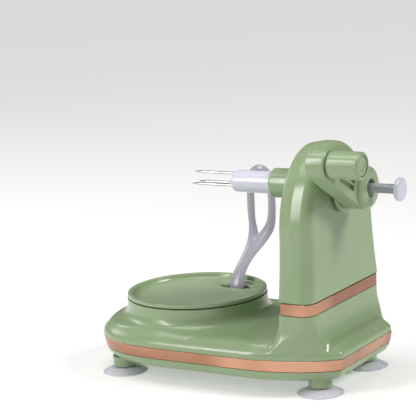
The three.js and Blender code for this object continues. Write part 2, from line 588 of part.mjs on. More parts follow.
// The table gear's teeth follow the idler's, so the two are in mesh at rest.
function tableGearPhase() {
  const idlerPitch = (2 * Math.PI) / IDLER_TEETH;
  const intoPitch = (idlerToTable - idlerPhase) / idlerPitch - 0.5;
  const offTooth = intoPitch - Math.round(intoPitch);
  const tablePitch = (2 * Math.PI) / TABLE_TEETH;
  return idlerToTable + Math.PI + (offTooth + 0.5) * tablePitch;
}
const TABLE_SCREWS = [60, 180, 300].map((degrees) => {
  const angle = (degrees * Math.PI) / 180;
  return [TABLE_X + 11.6 * Math.cos(angle), 11.6 * Math.sin(angle)];
});
function turntableGear() {
  const teeth = prism(gearShape(TABLE_TEETH, MODULE, { turn: tableGearPhase() }), HIGH_GEARS, TABLE_X, 0);
  const hub = bar(8.6, 38, 41.1, TABLE_X, 0);
  const gear = teeth.add(hub).subtract(bar(POST_R + 0.2, 30, 45, TABLE_X, 0, 24));
  return TABLE_SCREWS.reduce((body, [x, y]) => body
    .subtract(bar(1.5, 33, 41, x, y, 10)).subtract(bar(2.7, 33, 36.4, x, y, 10)), gear);
}
add('turntable_gear', turntableGear(), GEAR_WHITE);

// ---------------------------------------------------------------- turntable
const SLOT = { x0: -54, x1: -23, y0: 27.6, y1: 38.6 };
const LUGS = [[-52.5, -49], [-28.4, -25]];
function turntableDisc() {
  const plate = turned([
    [0, DISC_UNDERSIDE], [50.5, DISC_UNDERSIDE], [54.4, 60.4], [55.6, 62], [58.9, 62], [DISC_R, 62.7],
    [DISC_R, DISC_TOP - 0.8], [DISC_R - 0.9, DISC_TOP], [56, DISC_TOP], [54.6, DISC_TOP - 0.7],
    [53, 62.2], [49.5, DISC_FLOOR], [0, DISC_FLOOR]], TABLE_X, 0, 40);
  const hub = ring(9.2, 14.2, HIGH_GEARS[1] + GAP, DISC_UNDERSIDE + 1, TABLE_X);
  let disc = plate.add(hub);
  for (const [x0, x1] of LUGS) {
    disc = disc.add(block([x0, x1], [ARM_HINGE.y - 4, ARM_HINGE.y + 4], [50, DISC_UNDERSIDE + 1]));
  }
  disc = disc.subtract(block([SLOT.x0 + 5, SLOT.x1 - 5], [SLOT.y0, SLOT.y1], [45, 70]));
  disc = disc.subtract(block([SLOT.x0, SLOT.x1], [SLOT.y0 + 2.5, SLOT.y1 - 2.5], [58.5, 70]));
  disc = disc.subtract(barX(1.95, -60, -20, ARM_HINGE.y, ARM_HINGE.z, 16));
  return TABLE_SCREWS.reduce((body, [x, y]) => body.subtract(bar(1.5, 30, 48.5, x, y, 10)), disc);
}
add('turntable_disc', turntableDisc(), SAGE);
TABLE_SCREWS.forEach(([x, y], i) => add(`turntable_screw_${i + 1}`, turned([
  [0, 34.6], [2.4, 34.6], [2.4, 36.1], [1.2, 36.1], [1.2, 48], [0, 48]], x, y, 8), STEEL));

add('arm_pin', barX(1.65, -52.2, -25.2, ARM_HINGE.y, ARM_HINGE.z, 16), STEEL);

// A torsion spring: three turns of wire round the hinge pin.
class SpringCoil extends THREE.Curve {
  getPoint(t, target = new THREE.Vector3()) {
    const angle = 2 * Math.PI * 3 * t;
    const [y, z] = [2.7 * Math.cos(angle), 2.7 * Math.sin(angle)];
    return target.set(-32.1 + 3 * t, ARM_HINGE.y + y, ARM_HINGE.z + z);
  }
}
function roundShape(r, sides) {
  const shape = new THREE.Shape();
  for (let i = 0; i < sides; i++) {
    const angle = (2 * Math.PI * i) / sides;
    shape[i ? 'lineTo' : 'moveTo'](r * Math.cos(angle), r * Math.sin(angle));
  }
  return shape;
}
add('arm_spring', solid(new THREE.ExtrudeGeometry(roundShape(0.35, 5), {
  steps: 33, bevelEnabled: false, extrudePath: new SpringCoil() })), STEEL);

// ---------------------------------------------------------------- peeler arm
// The arm's face as [X, Z]: a foot on the hinge, a stem that leans towards the crank, and a tall loop
// that the peel falls through.
function armShape() {
  const shape = new THREE.Shape();
  shape.moveTo(-31.6, ARM_HINGE.z);
  shape.lineTo(-31.6, 63);
  shape.splineThru([[-32, 73], [-28.4, 84], [-21.5, 95], [-16, 106], [-13.9, 120], [-13.8, 136],
    [-14.8, 150], [-19.4, 159.5], [LOOP_X, 162.8], [-35.6, 159.5], [-40.2, 150], [-41.2, 136],
    [-41.2, 120], [-40.4, 108], [-39.4, 98], [-40.2, 87], [-43, 75], [-45.4, 63]]
    .map(([x, z]) => new THREE.Vector2(x, z)));
  shape.lineTo(-45.4, ARM_HINGE.z);
  const opening = new THREE.Path();
  opening.moveTo(-30.6, 101);
  opening.splineThru([[-34.2, 112], [-34.6, 128], [-34, 146], [-31.6, 153.4], [LOOP_X, 155.8],
    [-23.4, 153.4], [-21, 146], [-20.4, 128], [-22.6, 113], [-30.6, 101]]
    .map(([x, z]) => new THREE.Vector2(x, z)));
  shape.holes.push(opening);
  return shape;
}
const RIVETS_X = [LOOP_X - 10, LOOP_X + 10];
// How far out of the upright the arm stands at height z.
function armLean(z) {
  const t = Math.min(1, Math.max(0, (z - LEAN_START) / (LEAN_END - LEAN_START)));
  return ARM_REACH * t * t * (3 - 2 * t);
}
function peelerArm() {
  const geometry = new THREE.ExtrudeGeometry(armShape(), {
    depth: ARM_THICK, bevelEnabled: false, curveSegments: 2 });
  const at = geometry.attributes.position;
  for (let i = 0; i < at.count; i++) {
    const [x, z, back] = [at.getX(i), at.getY(i), at.getZ(i)];
    at.setXYZ(i, x, ARM_HINGE.y + ARM_THICK / 2 - back + armLean(z), z);
  }
  const barrel = barX(3.7, -45.4, -32.6, ARM_HINGE.y, ARM_HINGE.z, 16);
  const arm = solid(geometry).add(barrel)
    .subtract(barX(1.95, -50, -28, ARM_HINGE.y, ARM_HINGE.z, 16))
    .subtract(block([-32.6, -30], [25, 45], [45, 59.5]));
  return RIVETS_X.reduce((body, x) => body.subtract(barY(1.3, x, BLADE_Z, 60, 66)), arm);
}

// The blade lies across the loop on the fruit's side, held by two rivets.
const ARM_FACE_Y = ARM_HINGE.y + ARM_REACH - ARM_THICK / 2;
function blade() {
  const strip = block(
    [LOOP_X - 12, LOOP_X + 12], [ARM_FACE_Y - 1.1, ARM_FACE_Y - GAP], [BLADE_Z - 4, BLADE_Z + 4]);
  const slit = block([LOOP_X - 7, LOOP_X + 7], [50, 70], [BLADE_Z - 0.6, BLADE_Z + 1.2]);
  return RIVETS_X.reduce((body, x) => body.subtract(barY(1.3, x, BLADE_Z, 50, 70)), strip.subtract(slit));
}
function rivet(x) {
  return barY(1.9, x, BLADE_Z, ARM_FACE_Y - 2.1, ARM_FACE_Y - 1.4)
    .add(barY(1, x, BLADE_Z, ARM_FACE_Y - 1.5, ARM_FACE_Y + 3));
}
add('peeler_arm', peelerArm(), ARM_GREY);
add('blade', blade(), STEEL);
RIVETS_X.forEach((x, i) => add(`blade_rivet_${i + 1}`, rivet(x), STEEL));

export default machine;
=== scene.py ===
# A hand-cranked fruit peeler on four suction cups, with an arm and blade carried by a geared turntable.
# Sizes are in millimetres and MM turns them to metres. +X runs along the spindle to the crank, +Z is up,
# and Y = 0 is the plane of the spindle and of the turntable's axis.
import math

import bpy
import numpy as np
from mathutils import Matrix, Vector


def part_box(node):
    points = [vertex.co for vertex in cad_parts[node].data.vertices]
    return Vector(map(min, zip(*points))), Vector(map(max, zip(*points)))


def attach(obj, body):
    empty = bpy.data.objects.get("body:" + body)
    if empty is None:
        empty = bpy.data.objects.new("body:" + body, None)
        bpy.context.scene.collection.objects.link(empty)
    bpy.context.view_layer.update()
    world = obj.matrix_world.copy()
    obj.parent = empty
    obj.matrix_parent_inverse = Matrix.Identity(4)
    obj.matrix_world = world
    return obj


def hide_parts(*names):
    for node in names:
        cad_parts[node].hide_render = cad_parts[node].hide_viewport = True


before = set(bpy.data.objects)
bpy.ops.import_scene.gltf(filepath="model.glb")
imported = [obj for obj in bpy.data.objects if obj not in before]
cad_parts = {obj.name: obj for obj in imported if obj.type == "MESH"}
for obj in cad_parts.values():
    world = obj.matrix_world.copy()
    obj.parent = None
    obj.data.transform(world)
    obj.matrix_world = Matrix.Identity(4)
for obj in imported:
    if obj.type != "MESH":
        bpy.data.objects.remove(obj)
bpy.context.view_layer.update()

MM = 0.001
X, Y, Z = 0, 1, 2
AXES = (Vector((1, 0, 0)), Vector((0, 1, 0)), Vector((0, 0, 1)))


# ------------------------------------------------------------------ places taken from the frame
def span(node_name, axis):
    """The lowest and highest place of a CAD node along one axis, in millimetres."""
    low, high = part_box(node_name)
    return low[axis] / MM, high[axis] / MM


def middle(node_name, axis):
    """The middle of a CAD node along one axis, in millimetres."""
    low, high = span(node_name, axis)
    return (low + high) / 2


BASE_LEFT, BASE_RIGHT = span("base_housing", X)
BASE_HALF_WIDTH = span("base_housing", Y)[1]
BASE_MIDDLE = (BASE_LEFT + BASE_RIGHT) / 2
BASE_HALF_LENGTH = (BASE_RIGHT - BASE_LEFT) / 2
TRAY_BOTTOM = 12.0
TRAY_TOP = span("base_tray", Z)[1]
BAND_BOTTOM, BAND_TOP = span("base_trim_band", Z)
DECK_TOP = 44.5
DECK_UNDERSIDE = 41.6

TABLE_X = middle("thrust_washer", X)
COLLAR_TOP = 61.0
COLLAR_BORE_R = 56.5
DISC_UNDERSIDE = 57.9
DISC_FLOOR = 60.3
DISC_TOP = span("turntable_disc", Z)[1]
DISC_R = 59.5

TOWER_LEFT, TOWER_SPLIT = span("tower_shell", X)
TOWER_RIGHT = span("tower_cover", X)[1]
TOWER_MIDDLE = (TOWER_LEFT + TOWER_RIGHT) / 2
TOWER_HALF_DEPTH = (TOWER_RIGHT - TOWER_LEFT) / 2
TOWER_HALF_WIDTH = span("tower_shell", Y)[1]
TOWER_FOOT, TOWER_TOP = span("tower_shell", Z)
TRIM_BOTTOM, TRIM_TOP = span("tower_trim_band", Z)

SPINDLE_Z = middle("crank_bush", Z)
SPINDLE = (0.0, SPINDLE_Z)
TUBE_END, TUBE_INNER_END = span("spindle_tube", X)
TUBE_R = 9.2
HANDLE = (middle("handle_grip", Y), middle("handle_grip", Z))
GRIP_START, GRIP_END = span("handle_grip", X)
CRANK_BACK, HUB_FACE = span("crank_arm", X)
CRANK_FACE = CRANK_BACK + 16
HUB_R = 17.5
HANDLE_END_R = 12.4
KNOB_BACK, KNOB_FACE = span("ejector_knob", X)

HINGE_Y, HINGE_Z = middle("arm_pin", Y), middle("arm_pin", Z)
LOOP_X = middle("blade", X)
BLADE_Z = middle("blade", Z)
BLADE_FACE_Y = span("blade", Y)[0]
ARM_THICK = 5.0
ARM_REACH = 30.0
LEAN_START, LEAN_END = 58.0, 112.0

FEET = [(middle(f"suction_cup_{i}", X), middle(f"suction_cup_{i}", Y)) for i in (1, 2, 3, 4)]
TRAY_SCREWS = [(middle(f"tray_screw_{i}", X), middle(f"tray_screw_{i}", Y)) for i in (1, 2, 3, 4)]
COVER_SCREWS = [(middle(f"cover_screw_{i}", Y), middle(f"cover_screw_{i}", Z)) for i in (1, 2, 3, 4)]
PRONGS = [(middle(f"fork_prong_{i}", Y), middle(f"fork_prong_{i}", Z)) for i in (1, 2, 3)]


# ------------------------------------------------------------------ modelling by hand
def pick(piece):
    """Leaves this piece alone selected and active."""
    bpy.ops.object.select_all(action="DESELECT")
    piece.select_set(True)
    bpy.context.view_layer.objects.active = piece


def open_up(piece):
    """Opens a piece for editing with all of it selected."""
    pick(piece)
    bpy.ops.object.mode_set(mode="EDIT")
    bpy.ops.mesh.select_all(action="SELECT")


def close_up(weld=False):
    """Welds what lies together, turns the faces out and leaves edit mode."""
    bpy.ops.mesh.select_all(action="SELECT")
    if weld:
        bpy.ops.mesh.remove_doubles(threshold=0.001 * MM)
    bpy.ops.mesh.normals_make_consistent(inside=False)
    bpy.ops.object.mode_set(mode="OBJECT")


def grow(piece, stations, axis, centre):
    """Extrudes the open ring or the face that is drawn, from station to station along an axis.
    A station is [place, scale, scale] and the scales are across the axis, about the centre."""
    ring = stations[0] == stations[-1]
    across = [i for i in (X, Y, Z) if i != axis]
    open_up(piece)
    for (place0, *scale0), (place1, *scale1) in zip(stations, stations[1:]):
        step = {"value": AXES[axis] * (place1 - place0) * MM}
        if ring:
            bpy.ops.mesh.extrude_edges_move(TRANSFORM_OT_translate=step)
        else:
            bpy.ops.mesh.extrude_region_move(TRANSFORM_OT_translate=step)
        if scale0 != scale1:
            size = Vector((1, 1, 1))
            pivot = Vector((0, 0, 0))
            pivot[axis] = place1 * MM
            for k, i in enumerate(across):
                size[i] = scale1[k] / scale0[k]
                pivot[i] = centre[k] * MM
            bpy.ops.transform.resize(value=size, center_override=pivot)
    close_up(weld=ring)
    return piece


def turned(name, profile, axis=Z, centre=(0.0, 0.0), sides=96):
    """A round body from its [radius, place] profile. One that ends where it starts is a ring."""
    ring = profile[0] == profile[-1]
    radius, place = profile[0]
    start = Vector((0, 0, 0))
    start[axis] = place
    for k, i in enumerate(j for j in (X, Y, Z) if j != axis):
        start[i] = centre[k]
    lie = {X: (0, math.pi / 2, 0), Y: (math.pi / 2, 0, 0), Z: (0, 0, 0)}[axis]
    bpy.ops.object.select_all(action="DESELECT")
    bpy.ops.mesh.primitive_circle_add(
        vertices=sides, radius=radius * MM, location=start * MM, rotation=lie,
        fill_type="NOTHING" if ring else "NGON")
    piece = bpy.context.object
    piece.name = name
    piece.data.name = name
    bpy.ops.object.transform_apply(location=True, rotation=True, scale=True)
    return grow(piece, [(h, r / radius, r / radius) for r, h in profile], axis, centre)


def drawn(name, outline, axis, place, filled=True):
    """A closed outline across an axis, drawn as a curve and made a mesh."""
    curve = bpy.data.curves.new(name, "CURVE")
    curve.dimensions = "3D"
    line = curve.splines.new("POLY")
    line.points.add(len(outline) - 1)
    line.use_cyclic_u = True
    for knot, (u, v) in zip(line.points, outline):
        at = [u, v]
        at.insert(axis, place)
        knot.co = (at[0] * MM, at[1] * MM, at[2] * MM, 1)
    piece = bpy.data.objects.new(name, curve)
    bpy.context.scene.collection.objects.link(piece)
    pick(piece)
    bpy.ops.object.convert(target="MESH")
    piece = bpy.context.object
    if filled:
        open_up(piece)
        bpy.ops.mesh.edge_face_add()
        bpy.ops.object.mode_set(mode="OBJECT")
    return piece


def carried(name, outline, levels, axis, centre, half):
    """An outline carried through [place, inset] levels, drawn in on each side by the inset."""
    stations = [(place, 1 - inset / half[0], 1 - inset / half[1]) for place, inset in levels]
    place, u_scale, v_scale = stations[0]
    first = [(centre[0] + (u - centre[0]) * u_scale, centre[1] + (v - centre[1]) * v_scale)
             for u, v in outline]
    piece = drawn(name, first, axis, place, filled=stations[0] != stations[-1])
    return grow(piece, stations, axis, centre)


def block(name, xs, ys, zs):
    """A plain block between two corners, used as a cutter or a start."""
    bpy.ops.object.select_all(action="DESELECT")
    corners = (xs, ys, zs)
    bpy.ops.mesh.primitive_cube_add(size=1, location=[(a + b) / 2 * MM for a, b in corners])
    piece = bpy.context.object
    piece.name = name
    bpy.ops.transform.resize(value=[abs(b - a) * MM for a, b in corners])
    bpy.ops.object.transform_apply(location=True, rotation=True, scale=True)
    return piece


def settle(piece, modifier):
    """Applies a modifier to its piece."""
    pick(piece)
    bpy.ops.object.modifier_apply(modifier=modifier.name)


def combine(piece, tool, operation):
    """Adds, cuts away or keeps the common part with another body, which is used up."""
    modifier = piece.modifiers.new("combine", "BOOLEAN")
    modifier.operation = {"add": "UNION", "cut": "DIFFERENCE", "common": "INTERSECT"}[operation]
    modifier.solver = "EXACT"
    modifier.object = tool
    settle(piece, modifier)
    bpy.data.objects.remove(tool)
    return piece


def add(piece, tool):
    """Joins another body to the piece."""
    return combine(piece, tool, "add")


def cut(piece, tool):
    """Cuts another body out of the piece."""
    return combine(piece, tool, "cut")


def soften(piece, width, segments=3, angle=32):
    """Rounds every edge that turns by more than the angle."""
    modifier = piece.modifiers.new("soften", "BEVEL")
    modifier.width = width * MM
    modifier.segments = segments
    modifier.limit_method = "ANGLE"
    modifier.angle_limit = math.radians(angle)
    settle(piece, modifier)
    return piece


def eased(points, steps=4):
    """The points of a smooth curve through these points."""
    ends = [points[0], *points, points[-1]]
    curve = []
    for p, q, r, s in zip(ends, ends[1:], ends[2:], ends[3:]):
        for k in range(steps):
            t = k / steps
            curve.append(tuple(
                b + 0.5 * t * (c - a + t * (2 * a - 5 * b + 4 * c - d + t * (3 * (b - c) + d - a)))
                for a, b, c, d in zip(p, q, r, s)))
    return curve + [points[-1]]


def arc(centre, radius, start, end, steps):
    """Points on a circle, from one angle to another in degrees, both ends included."""
    angles = [math.radians(start + (end - start) * k / steps) for k in range(steps + 1)]
    return [(centre[0] + radius * math.cos(a), centre[1] + radius * math.sin(a)) for a in angles]


def bezier(p, q, r, s, steps=16):
    """Points on a cubic curve, without its last."""
    curve = []
    for k in range(steps):
        t = k / steps
        w = ((1 - t) ** 3, 3 * t * (1 - t) ** 2, 3 * t * t * (1 - t), t ** 3)
        curve.append(tuple(sum(wi * c for wi, c in zip(w, cs)) for cs in zip(p, q, r, s)))
    return curve


def hand_over(piece, body, slot, material, *nodes, angle=34):
    """Shades a finished piece, gives it its material and puts it in the place of its CAD nodes."""
    pick(piece)
    bpy.ops.object.shade_smooth_by_angle(angle=math.radians(angle))
    weighted = piece.modifiers.new("face weighted normals", "WEIGHTED_NORMAL")
    weighted.keep_sharp = True
    settle(piece, weighted)
    piece.data.materials.clear()
    piece.data.materials.append(material)
    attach(piece, body)
    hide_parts(*nodes)
    return piece


# ------------------------------------------------------------------ materials
def linear(hex_colour):
    """An sRGB hex colour as linear red, green, blue and alpha."""
    parts = [int(hex_colour[i:i + 2], 16) / 255 for i in (1, 3, 5)]
    return (*[c / 12.92 if c <= 0.04045 else ((c + 0.055) / 1.055) ** 2.4 for c in parts], 1)


def per(size):
    """The texture scale that gives a pattern this size in millimetres."""
    return 1 / (size * MM)


def add_node(tree, kind, inputs=None, **settings):
    """Adds a node, with its settings, and values or links for its inputs."""
    made = tree.nodes.new(kind)
    for name, value in settings.items():
        setattr(made, name, value)
    for socket, value in (inputs or {}).items():
        if isinstance(value, bpy.types.NodeSocket):
            tree.links.new(value, made.inputs[socket])
        else:
            made.inputs[socket].default_value = value
    return made


def new_material(name):
    """An empty node material and its node tree."""
    material = bpy.data.materials.new(name)
    material.use_nodes = True
    material.node_tree.nodes.clear()
    return material, material.node_tree


def moulded_abs(name, light, dark, gloss, satin):
    """ABS, injection moulded in a polished steel mould: an even colour with a broad soft shine,
    slightly cloudy over some centimetres, and a faint orange-peel skin drawn at 1.6 mm so that it shows."""
    material, tree = new_material(name)
    place = add_node(tree, "ShaderNodeTexCoord").outputs["Object"]
    cloud = add_node(tree, "ShaderNodeTexNoise", {"Vector": place, "Scale": per(45), "Detail": 2.0})
    tint = add_node(tree, "ShaderNodeMix", {
        "Factor": cloud.outputs["Fac"], "A": linear(dark), "B": linear(light)}, data_type="RGBA")
    # Handling leaves some patches a little duller than others.
    handled = add_node(tree, "ShaderNodeTexNoise", {"Vector": place, "Scale": per(14), "Detail": 4.0})
    shine = add_node(tree, "ShaderNodeMapRange", {
        "Value": handled.outputs["Fac"], "From Min": 0.3, "From Max": 0.7, "To Min": gloss, "To Max": satin})
    skin = add_node(tree, "ShaderNodeTexNoise", {"Vector": place, "Scale": per(1.6), "Detail": 2.0})
    bump = add_node(tree, "ShaderNodeBump", {
        "Height": skin.outputs["Fac"], "Strength": 0.06, "Distance": 0.02 * MM})
    shader = add_node(tree, "ShaderNodeBsdfPrincipled", {
        "Base Color": tint.outputs["Result"], "Roughness": shine.outputs["Result"],
        "Normal": bump.outputs["Normal"], "IOR": 1.53})
    add_node(tree, "ShaderNodeOutputMaterial", {"Surface": shader.outputs["BSDF"]})
    return material


def plated_copper_trim(name):
    """ABS strip with a vacuum-plated, lengthwise brushed rose copper: warm metal with fine level lines."""
    material, tree = new_material(name)
    place = add_node(tree, "ShaderNodeTexCoord").outputs["Object"]
    # The brush lines run level round the strip. They are drawn 0.5 mm apart, coarser than the real ones.
    level = add_node(tree, "ShaderNodeMapping", {"Vector": place, "Scale": (1, 1, 40)})
    lines = add_node(tree, "ShaderNodeTexNoise", {
        "Vector": level.outputs["Vector"], "Scale": per(20), "Detail": 5.0, "Roughness": 0.65})
    # Broad random patches darken and lighten the copper tint: a painted reflection of dark and bright
    # surroundings.
    painted_reflection_patches = add_node(tree, "ShaderNodeTexNoise", {"Vector": place, "Scale": per(55), "Detail": 1.0})
    depth = add_node(tree, "ShaderNodeMapRange", {
        "Value": painted_reflection_patches.outputs["Fac"], "From Min": 0.35, "From Max": 0.65, "To Min": 0.0, "To Max": 1.0})
    tint = add_node(tree, "ShaderNodeMix", {
        "Factor": depth.outputs["Result"], "A": linear("#9c6f56"), "B": linear("#cc9a80")}, data_type="RGBA")
    shine = add_node(tree, "ShaderNodeMapRange", {
        "Value": lines.outputs["Fac"], "From Min": 0.3, "From Max": 0.7, "To Min": 0.18, "To Max": 0.32})
    bump = add_node(tree, "ShaderNodeBump", {
        "Height": lines.outputs["Fac"], "Strength": 0.25, "Distance": 0.02 * MM})
    shader = add_node(tree, "ShaderNodeBsdfPrincipled", {
        "Base Color": tint.outputs["Result"], "Metallic": 1.0, "Roughness": shine.outputs["Result"],
        "Normal": bump.outputs["Normal"]})
    add_node(tree, "ShaderNodeOutputMaterial", {"Surface": shader.outputs["BSDF"]})
    return material


def steel(name, colour, grain_axis, grain, roughness):
    """Stainless or zinc-plated steel: cool grey metal with the fine lines of grinding or turning."""
    material, tree = new_material(name)
    place = add_node(tree, "ShaderNodeTexCoord").outputs["Object"]
    stretch = [1.0, 1.0, 1.0]
    stretch[grain_axis] = 0.04
    along = add_node(tree, "ShaderNodeMapping", {"Vector": place, "Scale": stretch})
    lines = add_node(tree, "ShaderNodeTexNoise", {
        "Vector": along.outputs["Vector"], "Scale": per(grain), "Detail": 4.0, "Roughness": 0.6})
    shine = add_node(tree, "ShaderNodeMapRange", {
        "Value": lines.outputs["Fac"], "From Min": 0.3, "From Max": 0.7,
        "To Min": roughness, "To Max": roughness + 0.14})
    bump = add_node(tree, "ShaderNodeBump", {
        "Height": lines.outputs["Fac"], "Strength": 0.3, "Distance": 0.01 * MM})
    shader = add_node(tree, "ShaderNodeBsdfPrincipled", {
        "Base Color": linear(colour), "Metallic": 1.0, "Roughness": shine.outputs["Result"],
        "Normal": bump.outputs["Normal"]})
    add_node(tree, "ShaderNodeOutputMaterial", {"Surface": shader.outputs["BSDF"]})
    return material


def moulded_acetal(name):
    """Acetal, injection moulded, for gears and bearings: waxy off-white that lets a little light in."""
    material, tree = new_material(name)
    place = add_node(tree, "ShaderNodeTexCoord").outputs["Object"]
    cloud = add_node(tree, "ShaderNodeTexNoise", {"Vector": place, "Scale": per(8), "Detail": 3.0})
    tint = add_node(tree, "ShaderNodeMix", {
        "Factor": cloud.outputs["Fac"], "A": linear("#dcd9cf"), "B": linear("#efede6")}, data_type="RGBA")
    skin = add_node(tree, "ShaderNodeTexNoise", {"Vector": place, "Scale": per(0.8), "Detail": 2.0})
    bump = add_node(tree, "ShaderNodeBump", {
        "Height": skin.outputs["Fac"], "Strength": 0.15, "Distance": 0.02 * MM})
    shader = add_node(tree, "ShaderNodeBsdfPrincipled", {
        "Base Color": tint.outputs["Result"], "Roughness": 0.48, "IOR": 1.48,
        "Normal": bump.outputs["Normal"], "Subsurface Weight": 0.15,
        "Subsurface Radius": (2 * MM, 2 * MM, 1.6 * MM), "Subsurface Scale": 1.0})
    add_node(tree, "ShaderNodeOutputMaterial", {"Surface": shader.outputs["BSDF"]})
    return material


def moulded_pvc(name):
    """Soft clear PVC, injection moulded and slightly violet: milky, with a wet shine and a misty inside."""
    material, tree = new_material(name)
    place = add_node(tree, "ShaderNodeTexCoord").outputs["Object"]
    mist = add_node(tree, "ShaderNodeTexNoise", {"Vector": place, "Scale": per(6), "Detail": 3.0})
    tint = add_node(tree, "ShaderNodeMix", {
        "Factor": mist.outputs["Fac"], "A": linear("#dad9e3"), "B": linear("#e6e5ed")}, data_type="RGBA")
    shine = add_node(tree, "ShaderNodeMapRange", {
        "Value": mist.outputs["Fac"], "From Min": 0.3, "From Max": 0.7, "To Min": 0.16, "To Max": 0.3})
    shader = add_node(tree, "ShaderNodeBsdfPrincipled", {
        "Base Color": tint.outputs["Result"], "Roughness": shine.outputs["Result"], "IOR": 1.52,
        "Transmission Weight": 0.2, "Subsurface Weight": 0.3,
        "Subsurface Radius": (3 * MM, 3 * MM, 3.4 * MM), "Subsurface Scale": 1.0})
    add_node(tree, "ShaderNodeOutputMaterial", {"Surface": shader.outputs["BSDF"]})
    return material


SAGE = moulded_abs("sage_abs_moulded", "#8fa37d", "#889c76", 0.2, 0.28)
SAGE_SATIN = moulded_abs("sage_abs_tray_satin", "#97a789", "#8fa080", 0.34, 0.46)
LAVENDER = moulded_abs("lavender_abs_moulded", "#cfcedb", "#c6c5d3", 0.18, 0.28)
# The arm is the same lavender plastic as the tube. Its darker grey-mauve tint is painted shade with a
# painted warm reflection.
ARM_LAVENDER_PAINTED_SHADE = moulded_abs("lavender_abs_with_painted_shade", "#a7a3ae", "#9c98a4", 0.18, 0.28)
ROD_GREY = moulded_abs("grey_abs_rod_moulded", "#9ca1a7", "#90959c", 0.18, 0.28)
COPPER = plated_copper_trim("rose_copper_plated_abs")
STEEL_TURNED = steel("stainless_steel_turned", "#c3c5c9", X, 0.6, 0.22)
STEEL_GROUND = steel("stainless_steel_ground_blade", "#d2d4d6", X, 0.5, 0.16)
ZINC = steel("zinc_plated_steel", "#bfc2c6", Z, 0.7, 0.3)
ACETAL = moulded_acetal("white_acetal_moulded")
CUP_PVC = moulded_pvc("clear_pvc_moulded")


# ------------------------------------------------------------------ base
def mirrored(outline):
    """An outline drawn on the -Y side, closed by its mirror image."""
    return outline + [(x, -y) for x, y in reversed(outline) if y != 0]


def base_plan():
    """The base from above: a long rounded D with its straight end under the crank."""
    w = BASE_HALF_WIDTH
    straight = 45.5
    shoulder = 34.5
    nose = bezier((BASE_LEFT, 0), (BASE_LEFT, -50), (-109.5, -w), (TABLE_X, -w), 28)
    side = [(TABLE_X, -w), (TABLE_X + 30, -w), (0, -w), (shoulder - 14, -w)]
    corner = bezier((shoulder, -w), (62.5, -w + 3), (85.5, -w + 11), (BASE_RIGHT, -straight), 18)
    return mirrored(nose + side + corner + [(BASE_RIGHT, -straight), (BASE_RIGHT, -straight / 2)])


BASE_PLAN = base_plan()


def base_levels(name, levels):
    """A solid with the base's outline, drawn in by [height, inset] levels."""
    return carried(name, BASE_PLAN, levels, Z, (BASE_MIDDLE, 0), (BASE_HALF_LENGTH, BASE_HALF_WIDTH))


def tower_plan():
    """The tower from above: flat towards the fruit, rounded corners towards the crank."""
    w = TOWER_HALF_WIDTH
    chamfer = [(TOWER_LEFT, -w + 2), (TOWER_LEFT + 1.6, -w + 0.7), (TOWER_LEFT + 4, -w),
               (TOWER_SPLIT - 8, -w)]
    near = TOWER_RIGHT - 2
    end = (TOWER_RIGHT, -w + 10)
    corner = bezier((TOWER_SPLIT, -w), (TOWER_SPLIT + 5.3, -w), (near, -w + 3.4), end, 14)
    return mirrored([(TOWER_LEFT, -w / 2)] + chamfer + corner + [end, (TOWER_RIGHT, -w / 2)])


TOWER_PLAN = tower_plan()


def tower_levels(name, levels):
    """A solid with the tower's level outline, drawn in by [height, inset] levels."""
    return carried(name, TOWER_PLAN, levels, Z, (TOWER_MIDDLE, 0), (TOWER_HALF_DEPTH, TOWER_HALF_WIDTH))


def foot_post(x, y):
    """The round post over a suction cup, flaring into the tray."""
    profile = [(4.3, 5.5), (9.0, 5.5), (9.5, 5.8), (9.7, 6.4), (9.7, 11), (10.1, 12.4), (10.1, 14)]
    return turned("post", profile + [(4.3, 14), (4.3, 5.5)], Z, (x, y), 64)


def bottom_tray():
    """The tray that closes the base from below, with its foot posts and screw wells."""
    rounded = eased([(12, 11), (13.2, 8), (15.5, 5), (18.5, 3), (TRAY_TOP, 1.8)])
    tray = base_levels("bottom_tray", [(TRAY_BOTTOM, 14)] + rounded)
    cut(tray, base_levels("tray_hollow", [(14.2, 13.6), (15.8, 10), (18.4, 6.4), (TRAY_TOP + 1, 4.6)]))
    for x, y in FEET:
        add(tray, foot_post(x, y))
        cut(tray, turned("stem_hole", [(4.3, 4), (4.3, 13)], Z, (x, y), 48))
    for x, y in TRAY_SCREWS:
        add(tray, turned("screw_well", [(5.6, 13), (5.6, 19)], Z, (x, y), 48))
        cut(tray, turned("screw_hole", [(3.6, 11), (3.6, 15.6), (1.9, 15.6), (1.9, 20)], Z, (x, y), 48))
    hand_over(soften(tray, 0.35, 2), "base", "sage_plastic", SAGE, "base_tray")


def lower_band():
    """The plated strip round the base, slightly crowned, with rounded edges."""
    low, high = BAND_BOTTOM, BAND_TOP + 0.1
    levels = [(low, 2.2), (low, 1.85), (low + 0.3, 1.55), (high - 3, 0.42), (high - 0.3, 0.02),
              (high, 0.3), (high, 1.4), (low, 3.2), (low, 2.2)]
    hand_over(base_levels("lower_copper_band", levels), "base", "copper_trim", COPPER, "base_trim_band")


def blended(piece, grain, passes):
    """Runs the joins of a rough body together, as a moulder's fillets do."""
    remesh = piece.modifiers.new("even faces", "REMESH")
    remesh.mode = "VOXEL"
    remesh.voxel_size = grain * MM
    settle(piece, remesh)
    soft = piece.modifiers.new("fillets", "SMOOTH")
    soft.factor = 0.5
    soft.iterations = passes
    settle(piece, soft)
    return piece


